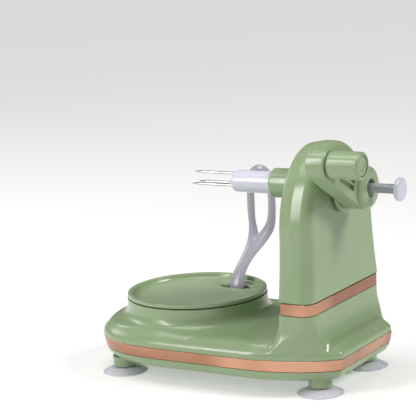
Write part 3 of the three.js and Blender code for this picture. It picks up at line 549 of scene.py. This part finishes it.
def housing():
    """The upper half of the base, with the collar under the turntable and the tower's pedestal."""
    lip = BAND_TOP + 0.3
    brow = [(24, 0), (34.8, 0)] + eased([
        (35.8, 0.2), (37, 1.1), (38.4, 2.5), (40.4, 4.2), (42.4, 6.2), (43.8, 9), (DECK_TOP, 14)])
    shell = base_levels("upper_housing", brow)
    rise = [(30, 1), (36, 1.4), (38, 2.8), (41, 4.6)]
    rise += eased([(43, 5.6), (47, 7.6), (52, 9.8), (COLLAR_TOP, 12)]) + [(66, 12)]
    flank = base_levels("flank", rise)
    foot = eased([(74, 43.6), (70, 44.4), (66.4, 45.4), (63.6, 46.8), (61.6, 48.8), (60.5, 51.4),
                  (60, 54.5)])
    collar = turned("collar", [(74, 34)] + foot + [(59.8, 66)], Z, (TABLE_X, 0), 160)
    add(shell, combine(flank, collar, "common"))
    flare = eased([(34, -13), (38, -9.6), (42, -6.6), (45.5, -4.2), (49.5, -2.4), (54, -1.1),
                   (60, -0.2), (64, 0)])
    pedestal = tower_levels("pedestal", flare + [(72, 0)])
    drawn_in = eased([(36, 0.4), (38.4, 2.3), (41, 4.2), (44, 5.7), (48, 6.9), (53, 7.7), (59, 8.3),
                      (67, 8.6)])
    sides = tower_levels("sides", [
        (30, -9), (39, -6.4), (44, -4), (50, -1.8), (57, -0.3), (62, 0), (72, 0)])
    combine(sides, base_levels("limit", [(29, 0.3), (40, 0.8), (46, 0.4), (58, -2), (73, -2)]), "common")
    edge = base_levels("edge", [(30, 0.2)] + drawn_in + [(73, 8.6)])
    add(edge, sides)
    add(shell, combine(pedestal, edge, "common"))
    blended(shell, 1.2, 12)
    cut(shell, block("under", (-150, 120), (-90, 90), (10, lip)))
    cut(shell, block("over_deck", (TOWER_LEFT - 12, 110), (-80, 80), (TRIM_BOTTOM - 0.3, 90)))
    cut(shell, block("over_collar", (-150, 20), (-80, 80), (COLLAR_TOP, 90)))
    add(shell, base_levels("skirt", [(BAND_BOTTOM, 3.8), (BAND_TOP + 0.15, 2.1), (lip + 1, 2.1)]))
    add(shell, tower_levels("neck", [(62, 2.3), (TRIM_TOP, 2.3)]))
    room = base_levels("base_room", [(BAND_BOTTOM - 1, 6.4), (35, 4.4), (38, 5.8), (DECK_UNDERSIDE, 9)])
    bore = [(COLLAR_BORE_R, 38), (COLLAR_BORE_R, COLLAR_TOP + 1)]
    add(room, turned("collar_bore", bore, Z, (TABLE_X, 0), 160))
    add(room, block("tower_room", (TOWER_LEFT + 5, TOWER_RIGHT - 4.5), (-57, 57), (38, TRIM_TOP + 1)))
    cut(shell, room)
    for x, y in TRAY_SCREWS:
        profile = [(4, 22), (4, DECK_UNDERSIDE + 1), (1.9, DECK_UNDERSIDE + 1), (1.9, 22), (4, 22)]
        add(shell, turned("screw_post", profile, Z, (x, y), 48))
    hand_over(shell, "base", "sage_plastic", SAGE, "base_housing", angle=42)


def suction_cup(number, place):
    """A soft cup: thin rim flat on the table, a shallow cone above it and a stem up into the foot."""
    over = eased([(18.9, 0.75), (17.4, 1.35), (15, 2.7), (12, 3.9), (9.5, 4.5), (7.4, 4.9), (6, 5.0)])
    under = eased([(17.4, 0.05), (14.6, 1.5), (9, 3.0), (3, 3.4)])
    stem = [(4, 5.1), (4, 9.6), (4.15, 10.2), (4.0, 11.0), (3.4, 11.4)]
    profile = under[::-1] + [(18.7, 0.0), (19, 0.25), (19, 0.55)] + over + stem
    cup = turned(f"cup_{number}", profile, Z, place, 96)
    hand_over(cup, "base", "cup_rubber", CUP_PVC, f"suction_cup_{number}", angle=50)


def cross_screw(name, centre, head, depth, axis, direction, shank, length):
    """A pan-head screw with a cross recess. Its head faces away from the direction that it runs in."""
    d = direction
    r = head
    profile = [(r * 0.45, depth), (r * 0.8, depth + d * 0.16), (r * 0.96, depth + d * 0.5),
               (r, depth + d * 0.9), (r, depth + d * 1.6), (shank, depth + d * 1.9),
               (shank, depth + d * (length - 1)), (shank * 0.5, depth + d * length)]
    screw = turned(name, profile, axis, centre, 48)
    reach, width, deep = r * 0.6, r * 0.13, 1.0
    for wide, tall in ((reach, width), (width, reach)):
        slots = [(centre[0] - wide, centre[0] + wide), (centre[1] - tall, centre[1] + tall)]
        slots.insert(axis, sorted((depth - d * 1, depth + d * deep)))
        cut(screw, block("cross", *slots))
    return screw


# ------------------------------------------------------------------ tower
def arch():
    """The tower from the crank side: leaning sides under half an ellipse."""
    springing, waist = 130.0, 58.0
    w = TOWER_HALF_WIDTH
    side = bezier((w, TOWER_FOOT), (60.7, 95.6), (58.7, 113.5), (waist, springing), 12)
    top = [(waist * math.cos(a), springing + (TOWER_TOP - springing) * math.sin(a))
           for a in (math.pi * k / 64 for k in range(65))]
    other = [(-y, z) for y, z in reversed(side)]
    return side + top + other


ARCH = arch()


def arch_levels(name, levels):
    """A solid with the tower's arched outline, drawn in by [X, inset] levels."""
    return carried(name, ARCH, levels, X, (0, TOWER_FOOT), (TOWER_HALF_WIDTH, TOWER_TOP - TOWER_FOOT))


def lift_foot(piece, lowest):
    """Trims a tower piece to a level foot, which leaves a shadow line over the strip."""
    return cut(piece, block("trim", (TOWER_LEFT - 5, TOWER_RIGHT + 5), (-80, 80), (TRIM_TOP - 9, lowest)))


def tower_front():
    """The tower's shell on the fruit's side."""
    edge = [(TOWER_LEFT, 4.4), (TOWER_LEFT + 0.25, 3.5), (TOWER_LEFT + 0.8, 2.75), (TOWER_LEFT + 1.6, 2.2),
            (TOWER_LEFT + 2.8, 1.75), (TOWER_LEFT + 4, 1.5)]
    strip = [(67.2, 0.12), (67.6, 0), (TOWER_SPLIT, 0)]
    shell = arch_levels("tower_front_shell", edge + strip)
    inner_face = TOWER_LEFT + 2.6
    hollow = arch_levels("hollow", [(inner_face, 4.6), (TOWER_SPLIT + 1, 3)])
    cut(shell, add(hollow, block("low", (inner_face, 80), (-59, 59), (70, 90))))
    lift_foot(shell, TOWER_FOOT + 0.35)
    for y, z in COVER_SCREWS:
        add(shell, turned("boss", [(4.6, TOWER_LEFT + 1), (4.6, 62)], X, (y, z), 40))
        well = [(3.7, 50), (3.7, TOWER_LEFT + 0.3), (3.4, TOWER_LEFT + 0.6), (3.4, 58.5)]
        cut(shell, turned("well", well, X, (y, z), 40))
        cut(shell, turned("hole", [(1.9, 58), (1.9, 63)], X, (y, z), 32))
    cut(shell, turned("collar_hole", [(11.3, 50), (11.3, 60)], X, SPINDLE, 96))
    hand_over(shell, "base", "sage_plastic", SAGE, "tower_shell", angle=28)


def tower_back():
    """The tower's cover on the crank's side: a rounded edge round a face that leans back a little."""
    start = TOWER_SPLIT + 0.06
    depth = TOWER_RIGHT - start
    turns = [math.sin(math.radians(a)) for a in range(0, 91, 6)]
    rounding = 9.5
    levels = [(start, 0)]
    levels += [(start + depth * t, rounding * (1 - math.sqrt(max(0, 1 - t * t))))
               for t in turns if t > 0.02]
    cover = arch_levels("tower_back_cover", levels)
    lean = 3.0
    for vertex in cover.data.vertices:
        along = (vertex.co.x / MM - start) / depth
        up = (vertex.co.z / MM - TOWER_FOOT) / (TOWER_TOP - TOWER_FOOT)
        vertex.co.x -= lean * max(0, along) * up * MM
    wall, inner_face = 5.8, 81.0
    inside = arch_levels("inside", [(start - 1, wall), (inner_face, wall)])
    cut(cover, add(inside, block("low", (start - 1, inner_face), (-57, 57), (70, 90))))
    lift_foot(cover, TOWER_FOOT + 0.35)
    for y, z in COVER_SCREWS:
        add(cover, turned("boss", [(4.2, 62.4), (4.2, 82)], X, (y, z), 40))
        cut(cover, turned("hole", [(1.9, 60), (1.9, 74)], X, (y, z), 32))
    cut(cover, turned("bush_hole", [(9.4, 78), (9.4, 90)], X, SPINDLE, 96))
    hand_over(cover, "base", "sage_plastic", SAGE, "tower_cover", angle=28)


def upper_band():
    """The plated strip round the tower's foot, ending short of its corners on the fruit's side."""
    low, high = TRIM_BOTTOM + 0.1, TRIM_TOP
    levels = [(low, 0.6), (low, 0.3), (low + 0.3, 0.02), (high - 0.3, 0.02), (high, 0.3), (high, 1.2),
              (low, 1.2), (low, 0.6)]
    band = tower_levels("upper_copper_band", levels)
    cut(band, block("open_side", (50, TOWER_LEFT + 3.2), (-80, 80), (60, 85)))
    hand_over(band, "base", "copper_trim", COPPER, "tower_trim_band")


def spindle_bearings():
    """The long sleeve on the fruit's side and the round boss behind the crank."""
    collar = [(9.5, 23.1), (10.1, 22.6), (10.6, 22.5), (11.4, 22.8), (11.95, 23.5), (12.2, 24.6),
              (12.2, 54.9), (10.9, 55.0), (10.9, 57.9), (9.5, 57.9), (9.5, 23.1)]
    sleeve = turned("spindle_sleeve", collar, X, SPINDLE, 96)
    hand_over(sleeve, "base", "sage_plastic", SAGE, "spindle_collar")
    bush = [(6.75, 80.4), (9, 80.4), (9, 86.0), (20.1, 86.0), (20.5, 86.3), (20.5, 87.8),
            (20.1, 88.4), (19.3, 88.8), (15, 88.8), (14.6, 88.5), (11.6, 88.5), (11.2, 88.8),
            (6.75, 88.8), (6.75, 80.4)]
    hand_over(turned("crank_boss", bush, X, SPINDLE, 96), "base", "sage_plastic", SAGE, "crank_bush")


# ------------------------------------------------------------------ spindle and fork
def spindle_parts():
    """The spindle tube with its plug and the three prongs that hold the fruit."""
    nose = [(8, TUBE_END + 0.5), (8.15, TUBE_END + 0.15), (8.4, TUBE_END), (8.75, TUBE_END + 0.2),
            (9.0, TUBE_END + 0.6), (9.15, TUBE_END + 1.2), (TUBE_R, TUBE_END + 1.9)]
    profile = nose + [(TUBE_R, TUBE_INNER_END), (5.3, TUBE_INNER_END), (5.3, -6), (8, -6),
                      (8, TUBE_END + 0.5)]
    tube = turned("fruit_spindle", profile, X, SPINDLE, 96)
    hand_over(tube, "spindle", "lavender_plastic", LAVENDER, "spindle_tube")
    face, back = TUBE_END + 0.3, -6.3
    plug = [(4.5, face + 0.3), (4.8, face), (7.4, face), (7.7, face + 0.3), (7.7, back), (4.5, back),
            (4.5, face + 0.3)]
    holder = turned("fork_plug", plug, X, SPINDLE, 64)
    for place in PRONGS:
        cut(holder, turned("socket", [(1.35, face - 1), (1.35, -8)], X, place, 24))
    hand_over(holder, "spindle", "lavender_plastic", LAVENDER, "fork_holder")
    tip = span("fork_prong_1", X)[0]
    taper = [(0.12, tip), (0.3, tip + 0.35), (0.6, tip + 2), (0.92, tip + 4.4), (1.1, tip + 7),
             (1.15, tip + 9)]
    for number, place in enumerate(PRONGS, 1):
        prong = turned(f"prong_{number}", taper + [(1.15, -8.6), (1.0, -8.4)], X, place, 24)
        hand_over(prong, "spindle", "steel", STEEL_TURNED, f"fork_prong_{number}")


# ------------------------------------------------------------------ crank and grip
CRANK_ANGLE = math.atan2(HANDLE[1] - SPINDLE_Z, HANDLE[0])


def crank_outline():
    """The lever's outline as [Y, Z]: a hub and a smaller end, joined by straight sides."""
    apart = math.hypot(HANDLE[0], HANDLE[1] - SPINDLE_Z)
    spread = math.degrees(math.acos((HUB_R - HANDLE_END_R) / apart))
    along = math.degrees(CRANK_ANGLE)
    hub = arc(SPINDLE, HUB_R, along + spread, along - spread + 360, 56)
    end = arc(HANDLE, HANDLE_END_R, along - spread, along + spread, 28)
    return hub + end


def swung(piece):
    """Turns a cutter drawn along +Y so that it lies from the hub towards the handle."""
    turn = Matrix.Translation((0, 0, SPINDLE_Z * MM)) @ Matrix.Rotation(CRANK_ANGLE, 4, "X")
    piece.data.transform(turn)
    return piece


def crank():
    """The crank arm: a plate with a domed hub, and a ribbed trough along its outer face."""
    edge = 1.6
    back_edge = [(CRANK_BACK, 1.2), (CRANK_BACK + 0.35, 0.4), (CRANK_BACK + 1.1, 0)]
    quarter = [math.radians(a) for a in range(0, 91, 15)]
    face_edge = [(CRANK_FACE - edge + edge * math.sin(a), edge * (1 - math.cos(a))) for a in quarter]
    halfway = (HANDLE[0] / 2, (HANDLE[1] + SPINDLE_Z) / 2)
    half_size = (45, 31)
    arm = carried("crank_lever", crank_outline(), back_edge + face_edge, X, halfway, half_size)
    trough = block("trough", (CRANK_FACE - 3.2, CRANK_FACE + 1), (20.5, 48), (-8.6, 8.6))
    for line in (-3.4, 3.4):
        cut(trough, block("rib", (CRANK_FACE - 6, CRANK_FACE - 0.7), (19, 50), (line - 0.8, line + 0.8)))
    cut(arm, swung(soften(trough, 0.5, 2)))
    round_r = 5
    dome = [(HUB_R, CRANK_BACK + 1), (HUB_R, HUB_FACE - round_r)]
    dome += [(HUB_R - round_r + round_r * math.cos(a), HUB_FACE - round_r + round_r * math.sin(a))
             for a in (math.radians(angle) for angle in range(10, 91, 10))]
    add(arm, turned("hub", dome, X, SPINDLE, 96))
    cut(arm, turned("journal", [(6.8, CRANK_BACK - 1), (6.8, 104.6)], X, SPINDLE, 64))
    cup = [(7.0, 103.4), (7.0, HUB_FACE - 0.9), (7.3, HUB_FACE - 0.3), (8.0, HUB_FACE + 0.2),
           (8.0, HUB_FACE + 1)]
    cut(arm, turned("cup", cup, X, SPINDLE, 64))
    cut(arm, turned("pin_hole", [(3.3, CRANK_BACK - 1), (3.3, CRANK_FACE + 1)], X, HANDLE, 48))
    cut(arm, turned("head_well", [(5.4, CRANK_BACK - 1), (5.4, 92.4)], X, HANDLE, 48))
    hand_over(arm, "spindle", "sage_plastic", SAGE, "crank_arm", angle=38)


def crank_fasteners():
    """The six-sided nut in the hub and the pin that the grip turns on."""
    r = 7.0
    six_sided = [(5, 103.7), (r - 0.6, 103.6), (r, 103.9), (r, 106.0), (r - 0.6, 106.4), (5, 106.4),
                 (5, 103.7)]
    nut = turned("locking_nut", six_sided, X, SPINDLE, 6)
    hand_over(nut, "spindle", "steel", ZINC, "hub_nut", angle=20)
    pin = [(3.4, CRANK_BACK + 0.2), (4.6, CRANK_BACK + 0.35), (5, CRANK_BACK + 0.8), (5, 92.1),
           (3, 92.1), (3, 129), (2.6, 129.4)]
    hand_over(turned("grip_pin", pin, X, HANDLE, 48), "spindle", "steel", STEEL_TURNED, "handle_pin")


def grip():
    """The knob that turns on the handle pin: a plain barrel with a recessed cap."""
    start, end = GRIP_START, GRIP_END
    r = 10.8
    barrel = [(3.3, start), (9.7, start), (10.0, start + 0.15), (10.15, start + 0.5), (10.2, start + 1.4),
              (10.45, start + 1.6), (10.7, start + 1.75), (r, start + 2.2), (r, end - 1.8)]
    edge = 1.6
    rim = [(r - edge + edge * math.cos(a), end - edge + edge * math.sin(a))
           for a in (math.radians(angle) for angle in range(10, 91, 16))]
    inner = [(8.6, end), (8.35, end - 0.15), (8.2, end - 0.5), (8.2, 130.4), (3.3, 130.4), (3.3, start)]
    hand_over(turned("grip_barrel", barrel + rim + inner, X, HANDLE, 96),
              "grip", "sage_plastic", SAGE, "handle_grip")
    top = end - 0.7
    cap = [(7.7, 130.7), (7.9, 130.9), (7.9, top - 0.5), (7.6, top - 0.1), (7.2, top), (4.6, top),
           (4.3, top - 0.25), (3.6, top - 0.45), (0.5, top - 0.5)]
    hand_over(turned("grip_end_cap", cap, X, HANDLE, 96), "grip", "sage_plastic", SAGE, "grip_cap")


def ejector():
    """The push rod that frees the core, with its thumb knob and its head inside the fork."""
    rod = [(2.1, -9.6), (2.4, -9.3), (2.4, 104.6), (3.9, 105.5), (3.9, 132.2), (3.6, 132.5)]
    hand_over(turned("push_rod", rod, X, SPINDLE, 64),
              "ejector", "lavender_plastic", ROD_GREY, "ejector_rod")
    r = 9.6
    knob = [(5.6, KNOB_BACK), (7.6, KNOB_BACK + 0.15), (8.6, KNOB_BACK + 0.5), (9.2, KNOB_BACK + 1.0),
            (9.5, KNOB_BACK + 1.7), (r, KNOB_BACK + 2.4), (9.5, KNOB_BACK + 3.1), (9.2, KNOB_FACE - 0.7),
            (8.6, KNOB_FACE - 0.25), (7.6, KNOB_FACE), (2, KNOB_FACE)]
    hand_over(turned("thumb_knob", knob, X, SPINDLE, 96),
              "ejector", "lavender_plastic", LAVENDER, "ejector_knob")
    face = TUBE_END + 0.6
    head = [(3.2, face), (3.8, face + 0.15), (4.2, face + 0.6), (4.2, -10.2), (3.9, -9.9)]
    hand_over(turned("core_pusher", head, X, SPINDLE, 64),
              "ejector", "lavender_plastic", LAVENDER, "ejector_head")


# ------------------------------------------------------------------ turntable
def turntable():
    """The tray that catches juice and turns the arm round the fruit, with a slot for the arm's foot."""
    under = [(2, DISC_UNDERSIDE), (50.5, DISC_UNDERSIDE), (54.4, 60.4), (55.6, 62), (58.9, 62)]
    rim = [(59.35, 62.2), (DISC_R, 62.7), (DISC_R, 64.3), (59.3, 64.9), (58.9, 65.2), (58.3, DISC_TOP),
           (56.4, DISC_TOP), (55.7, 65.1), (55.2, 64.7)]
    bowl = eased([(54.9, 63.9), (54.2, 62.4), (53.2, 61.3), (51.8, 60.7), (50.2, 60.4),
                  (48.4, DISC_FLOOR)])
    disc = turned("turntable_tray", under + rim + bowl + [(2, DISC_FLOOR)], Z, (TABLE_X, 0), 160)
    hub = [(9.2, 39.7), (14.2, 39.7), (14.2, 58.5), (9.2, 58.5), (9.2, 39.7)]
    add(disc, turned("hub", hub, Z, (TABLE_X, 0), 64))
    low, high = span("arm_pin", X)
    for x0, x1 in ((low - 0.3, low + 3.2), (high - 3.2, high + 0.2)):
        add(disc, block("lug", (x0, x1), (HINGE_Y - 4, HINGE_Y + 4), (50, DISC_UNDERSIDE + 1)))
    foot = block("foot_slot", (-49, -28), (27.6, 38.6), (45, 70))
    cut(disc, soften(foot, 1.0))
    slit = block("slit", (-54, -23), (30.3, 35.9), (55.4, 70))
    cut(disc, soften(slit, 1.2))
    cut(disc, turned("pin_hole", [(1.95, -60), (1.95, -20)], X, (HINGE_Y, HINGE_Z), 32))
    hand_over(disc, "turntable", "sage_plastic", SAGE, "turntable_disc", angle=30)
    # The floor inside the rim has a finer, duller finish than the moulded rim.
    disc.data.materials.append(SAGE_SATIN)
    for face in disc.data.polygons:
        if face.normal.z > 0.99 and abs(face.center.z / MM - DISC_FLOOR) < 0.2:
            face.material_index = 1


# ------------------------------------------------------------------ peeler arm and blade
def arm_outline():
    """The arm's face as [X, Z]: a foot on the hinge, a leaning stem and the outside of a tall loop."""
    curve = eased([(-31.6, 63), (-32, 73), (-28.4, 84), (-21.5, 95), (-16, 106), (-13.9, 120), (-13.8, 136),
                   (-14.8, 150), (-19.4, 159.5), (LOOP_X, 162.8), (-35.6, 159.5), (-40.2, 150), (-41.2, 136),
                   (-41.2, 120), (-40.4, 108), (-39.4, 98), (-40.2, 87), (-43, 75), (-45.4, 63)], 5)
    return [(-31.6, HINGE_Z)] + curve + [(-45.4, HINGE_Z)]


def arm_opening():
    """The inside of the arm's loop as [X, Z]."""
    return eased([(-30.6, 101), (-34.2, 112), (-34.6, 128), (-34, 146), (-31.6, 153.4), (LOOP_X, 155.8),
                  (-23.4, 153.4), (-21, 146), (-20.4, 128), (-22.6, 113), (-30.6, 101)], 5)[:-1]


def distance_to(points, lines):
    """The distance from each point to the nearest of the closed outlines, all as [X, Z]."""
    best = np.full(len(points), np.inf)
    for line in lines:
        knots = np.array(line)
        for a, b in zip(knots, np.roll(knots, -1, axis=0)):
            way = b - a
            t = np.clip(((points - a) @ way) / max(way @ way, 1e-9), 0, 1)
            best = np.minimum(best, np.linalg.norm(points - (a + t[:, None] * way), axis=1))
    return best


def lean(z):
    """How far the arm stands out of the upright at height z."""
    t = np.clip((z - LEAN_START) / (LEAN_END - LEAN_START), 0, 1)
    return ARM_REACH * t * t * (3 - 2 * t)


def peeler_arm():
    """The arm's bars are ridged along their middle and thin towards their edges."""
    half = ARM_THICK / 2
    ridge_inset, edge_share = 4.2, 0.42
    arm = drawn("arm_lever", arm_outline(), Y, HINGE_Y - half)
    grow(arm, [(HINGE_Y - half, 1, 1), (HINGE_Y + half, 1, 1)], Y, (0, 0))
    hole = drawn("opening", arm_opening(), Y, HINGE_Y - 6)
    cut(arm, grow(hole, [(HINGE_Y - 6, 1, 1), (HINGE_Y + 6, 1, 1)], Y, (0, 0)))
    blended(arm, 0.55, 4)
    at = np.array([vertex.co for vertex in arm.data.vertices]) / MM
    depth = distance_to(at[:, [0, 2]], [arm_outline(), arm_opening()])
    crown = edge_share + (1 - edge_share) * np.clip(depth / ridge_inset, 0, 1)
    at[:, 1] = HINGE_Y + (at[:, 1] - HINGE_Y) * crown + lean(at[:, 2])
    for vertex, place in zip(arm.data.vertices, at * MM):
        vertex.co = place
    hinge = (HINGE_Y, HINGE_Z)
    add(arm, turned("barrel", [(3.4, -45.4), (3.7, -45.1), (3.7, -32.9), (3.4, -32.6)], X, hinge, 48))
    cut(arm, turned("pin_bore", [(1.95, -50), (1.95, -28)], X, hinge, 32))
    cut(arm, block("spring_room", (-32.6, -30), (25, 45), (45, 59.5)))
    seat = block("blade_seat", (LOOP_X - 13, LOOP_X + 13), (BLADE_FACE_Y - 4, BLADE_FACE_Y + 0.9),
                 (BLADE_Z - 5, BLADE_Z + 5))
    cut(arm, seat)
    for x in (LOOP_X - 10, LOOP_X + 10):
        cut(arm, turned("rivet_hole", [(1.3, 58), (1.3, 68)], Y, (x, BLADE_Z), 24))
    # The arm's material is the lavender darkened by painted shade.
    hand_over(arm, "arm", "arm_plastic", ARM_LAVENDER_PAINTED_SHADE, "peeler_arm", angle=60)


def blade_and_rivets():
    """A ground strip with a slit, whose lower lip is raised into the cutting edge."""
    front, back = span("blade", Y)
    strip = block("peeling_blade", (LOOP_X - 12, LOOP_X + 12), (front + 0.1, back),
                  (BLADE_Z - 4, BLADE_Z + 4))
    soften(strip, 0.2, 2)
    slit = block("slit", (LOOP_X - 7, LOOP_X + 7), (50, 70), (BLADE_Z - 0.6, BLADE_Z + 1.2))
    cut(strip, soften(slit, 0.3, 2))
    edge = [(front - 0.5, BLADE_Z - 0.6), (front + 0.4, BLADE_Z - 2.6), (front + 0.4, BLADE_Z - 0.9)]
    lip = drawn("lip", edge, X, LOOP_X - 6.6)
    add(strip, grow(lip, [(LOOP_X - 6.6, 1, 1), (LOOP_X + 6.6, 1, 1)], X, (0, 0)))
    for number, x in enumerate((LOOP_X - 10, LOOP_X + 10), 1):
        cut(strip, turned("hole", [(1.3, 50), (1.3, 70)], Y, (x, BLADE_Z), 24))
        low, high = span(f"blade_rivet_{number}", Y)
        head = [(0.7, low), (1.4, low + 0.12), (1.8, low + 0.4), (1.9, low + 0.7), (1.0, low + 0.7),
                (1.0, high)]
        rivet = turned(f"rivet_{number}", head, Y, (x, BLADE_Z), 40)
        hand_over(rivet, "arm", "steel", STEEL_TURNED, f"blade_rivet_{number}")
    hand_over(strip, "arm", "steel", STEEL_GROUND, "blade", angle=25)


# ------------------------------------------------------------------ making it all
bottom_tray()
lower_band()
housing()
for index, foot in enumerate(FEET, 1):
    suction_cup(index, foot)
for index, spot in enumerate(TRAY_SCREWS, 1):
    screw = cross_screw(f"tray_bolt_{index}", spot, 3.0, 12.6, Z, 1, 1.5, 16)
    hand_over(screw, "base", "steel", ZINC, f"tray_screw_{index}")
tower_front()
tower_back()
upper_band()
for index, spot in enumerate(COVER_SCREWS, 1):
    screw = cross_screw(f"cover_bolt_{index}", spot, 2.9, 56.2, X, 1, 1.5, 15.8)
    hand_over(screw, "base", "steel", ZINC, f"cover_screw_{index}")
spindle_bearings()
spindle_parts()
crank()
crank_fasteners()
grip()
ejector()
turntable()
peeler_arm()
blade_and_rivets()

# The gears, axles and small fittings inside keep their CAD shape.
INSIDE = {
    ACETAL: ["turntable_post", "idler_axle", "compound_axle", "lower_shaft_bearing",
             "upper_shaft_bracket", "spindle_gear", "drive_shaft_gear", "drive_pinion",
             "compound_gear", "idler_gear", "turntable_gear"],
    STEEL_TURNED: ["spindle_shaft", "drive_shaft", "arm_pin", "arm_spring", "thrust_washer", "post_clip"],
    ZINC: ["turntable_screw_1", "turntable_screw_2", "turntable_screw_3"],
}
for finish, names in INSIDE.items():
    for name in names:
        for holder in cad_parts[name].material_slots:
            holder.material = finish


# ------------------------------------------------------------------ studio
def studio():
    """A plain pale floor under one broad distant light, with softer lights to the left and overhead."""
    bpy.ops.object.select_all(action="DESELECT")
    bpy.ops.mesh.primitive_plane_add(size=12, location=(0, 0, 0))
    floor = bpy.context.object
    floor.name = "floor"
    paper, tree = new_material("white_paper")
    shader = add_node(tree, "ShaderNodeBsdfPrincipled", {
        "Base Color": linear("#cfcfce"), "Roughness": 0.9, "Specular IOR Level": 0.1,
        "Emission Color": linear("#ffffff"), "Emission Strength": 0.37})
    add_node(tree, "ShaderNodeOutputMaterial", {"Surface": shader.outputs["BSDF"]})
    floor.data.materials.append(paper)
    aim = Vector((0, 0, 0.1))

    def hang(lamp, place):
        """Puts a lamp in its place, turned towards the middle of the machine."""
        holder = bpy.data.objects.new(lamp.name, lamp)
        holder.location = place
        holder.rotation_euler = (aim - Vector(place)).to_track_quat("-Z", "Y").to_euler()
        bpy.context.scene.collection.objects.link(holder)

    key = bpy.data.lights.new("distant_right", "SUN")
    key.energy = 2.0
    key.angle = math.radians(18)
    hang(key, (1.3, 0.35, 1.2))
    for name, place, width, height, power in [("overhead", (-0.1, -0.2, 1.3), 0.8, 0.8, 8.5),
                                              ("left_strip", (-0.65, -1.1, 0.75), 0.16, 1.0, 10.0),
                                              ("left_back", (-1.3, 0.1, 0.8), 0.5, 0.5, 3.0)]:
        lamp = bpy.data.lights.new(name, "AREA")
        lamp.shape = "RECTANGLE"
        lamp.size = width
        lamp.size_y = height
        lamp.energy = power
        hang(lamp, place)
    world = bpy.data.worlds.new("studio_white")
    bpy.context.scene.world = world
    world.use_nodes = True
    tree = world.node_tree
    tree.nodes.clear()
    light = add_node(tree, "ShaderNodeBackground", {"Color": linear("#ffffff"), "Strength": 0.13})
    add_node(tree, "ShaderNodeOutputWorld", {"Surface": light.outputs["Background"]})
    bpy.context.scene.view_settings.view_transform = "Standard"


def camera():
    """Looks at the crank's side of the machine from a little above, rolled by a few degrees."""
    azimuth, elevation, tilt = (math.radians(a) for a in (31.8, 10.9, 3.0))
    distance = 1.4
    target = Vector((-0.0426, 0, 0.1358))
    back = Vector((math.sin(azimuth) * math.cos(elevation), -math.cos(azimuth) * math.cos(elevation),
                   math.sin(elevation)))
    level = Vector((math.cos(azimuth), math.sin(azimuth), 0))
    upright = back.cross(level)
    right = level * math.cos(tilt) - upright * math.sin(tilt)
    up = level * math.sin(tilt) + upright * math.cos(tilt)
    eye = bpy.data.objects.new("camera", bpy.data.cameras.new("camera"))
    eye.data.lens = 143.86
    eye.data.sensor_width = 36
    eye.matrix_world = Matrix.Translation(target + distance * back) @ Matrix(
        (right, up, back)).transposed().to_4x4()
    bpy.context.scene.collection.objects.link(eye)
    bpy.context.scene.camera = eye


studio()
camera()
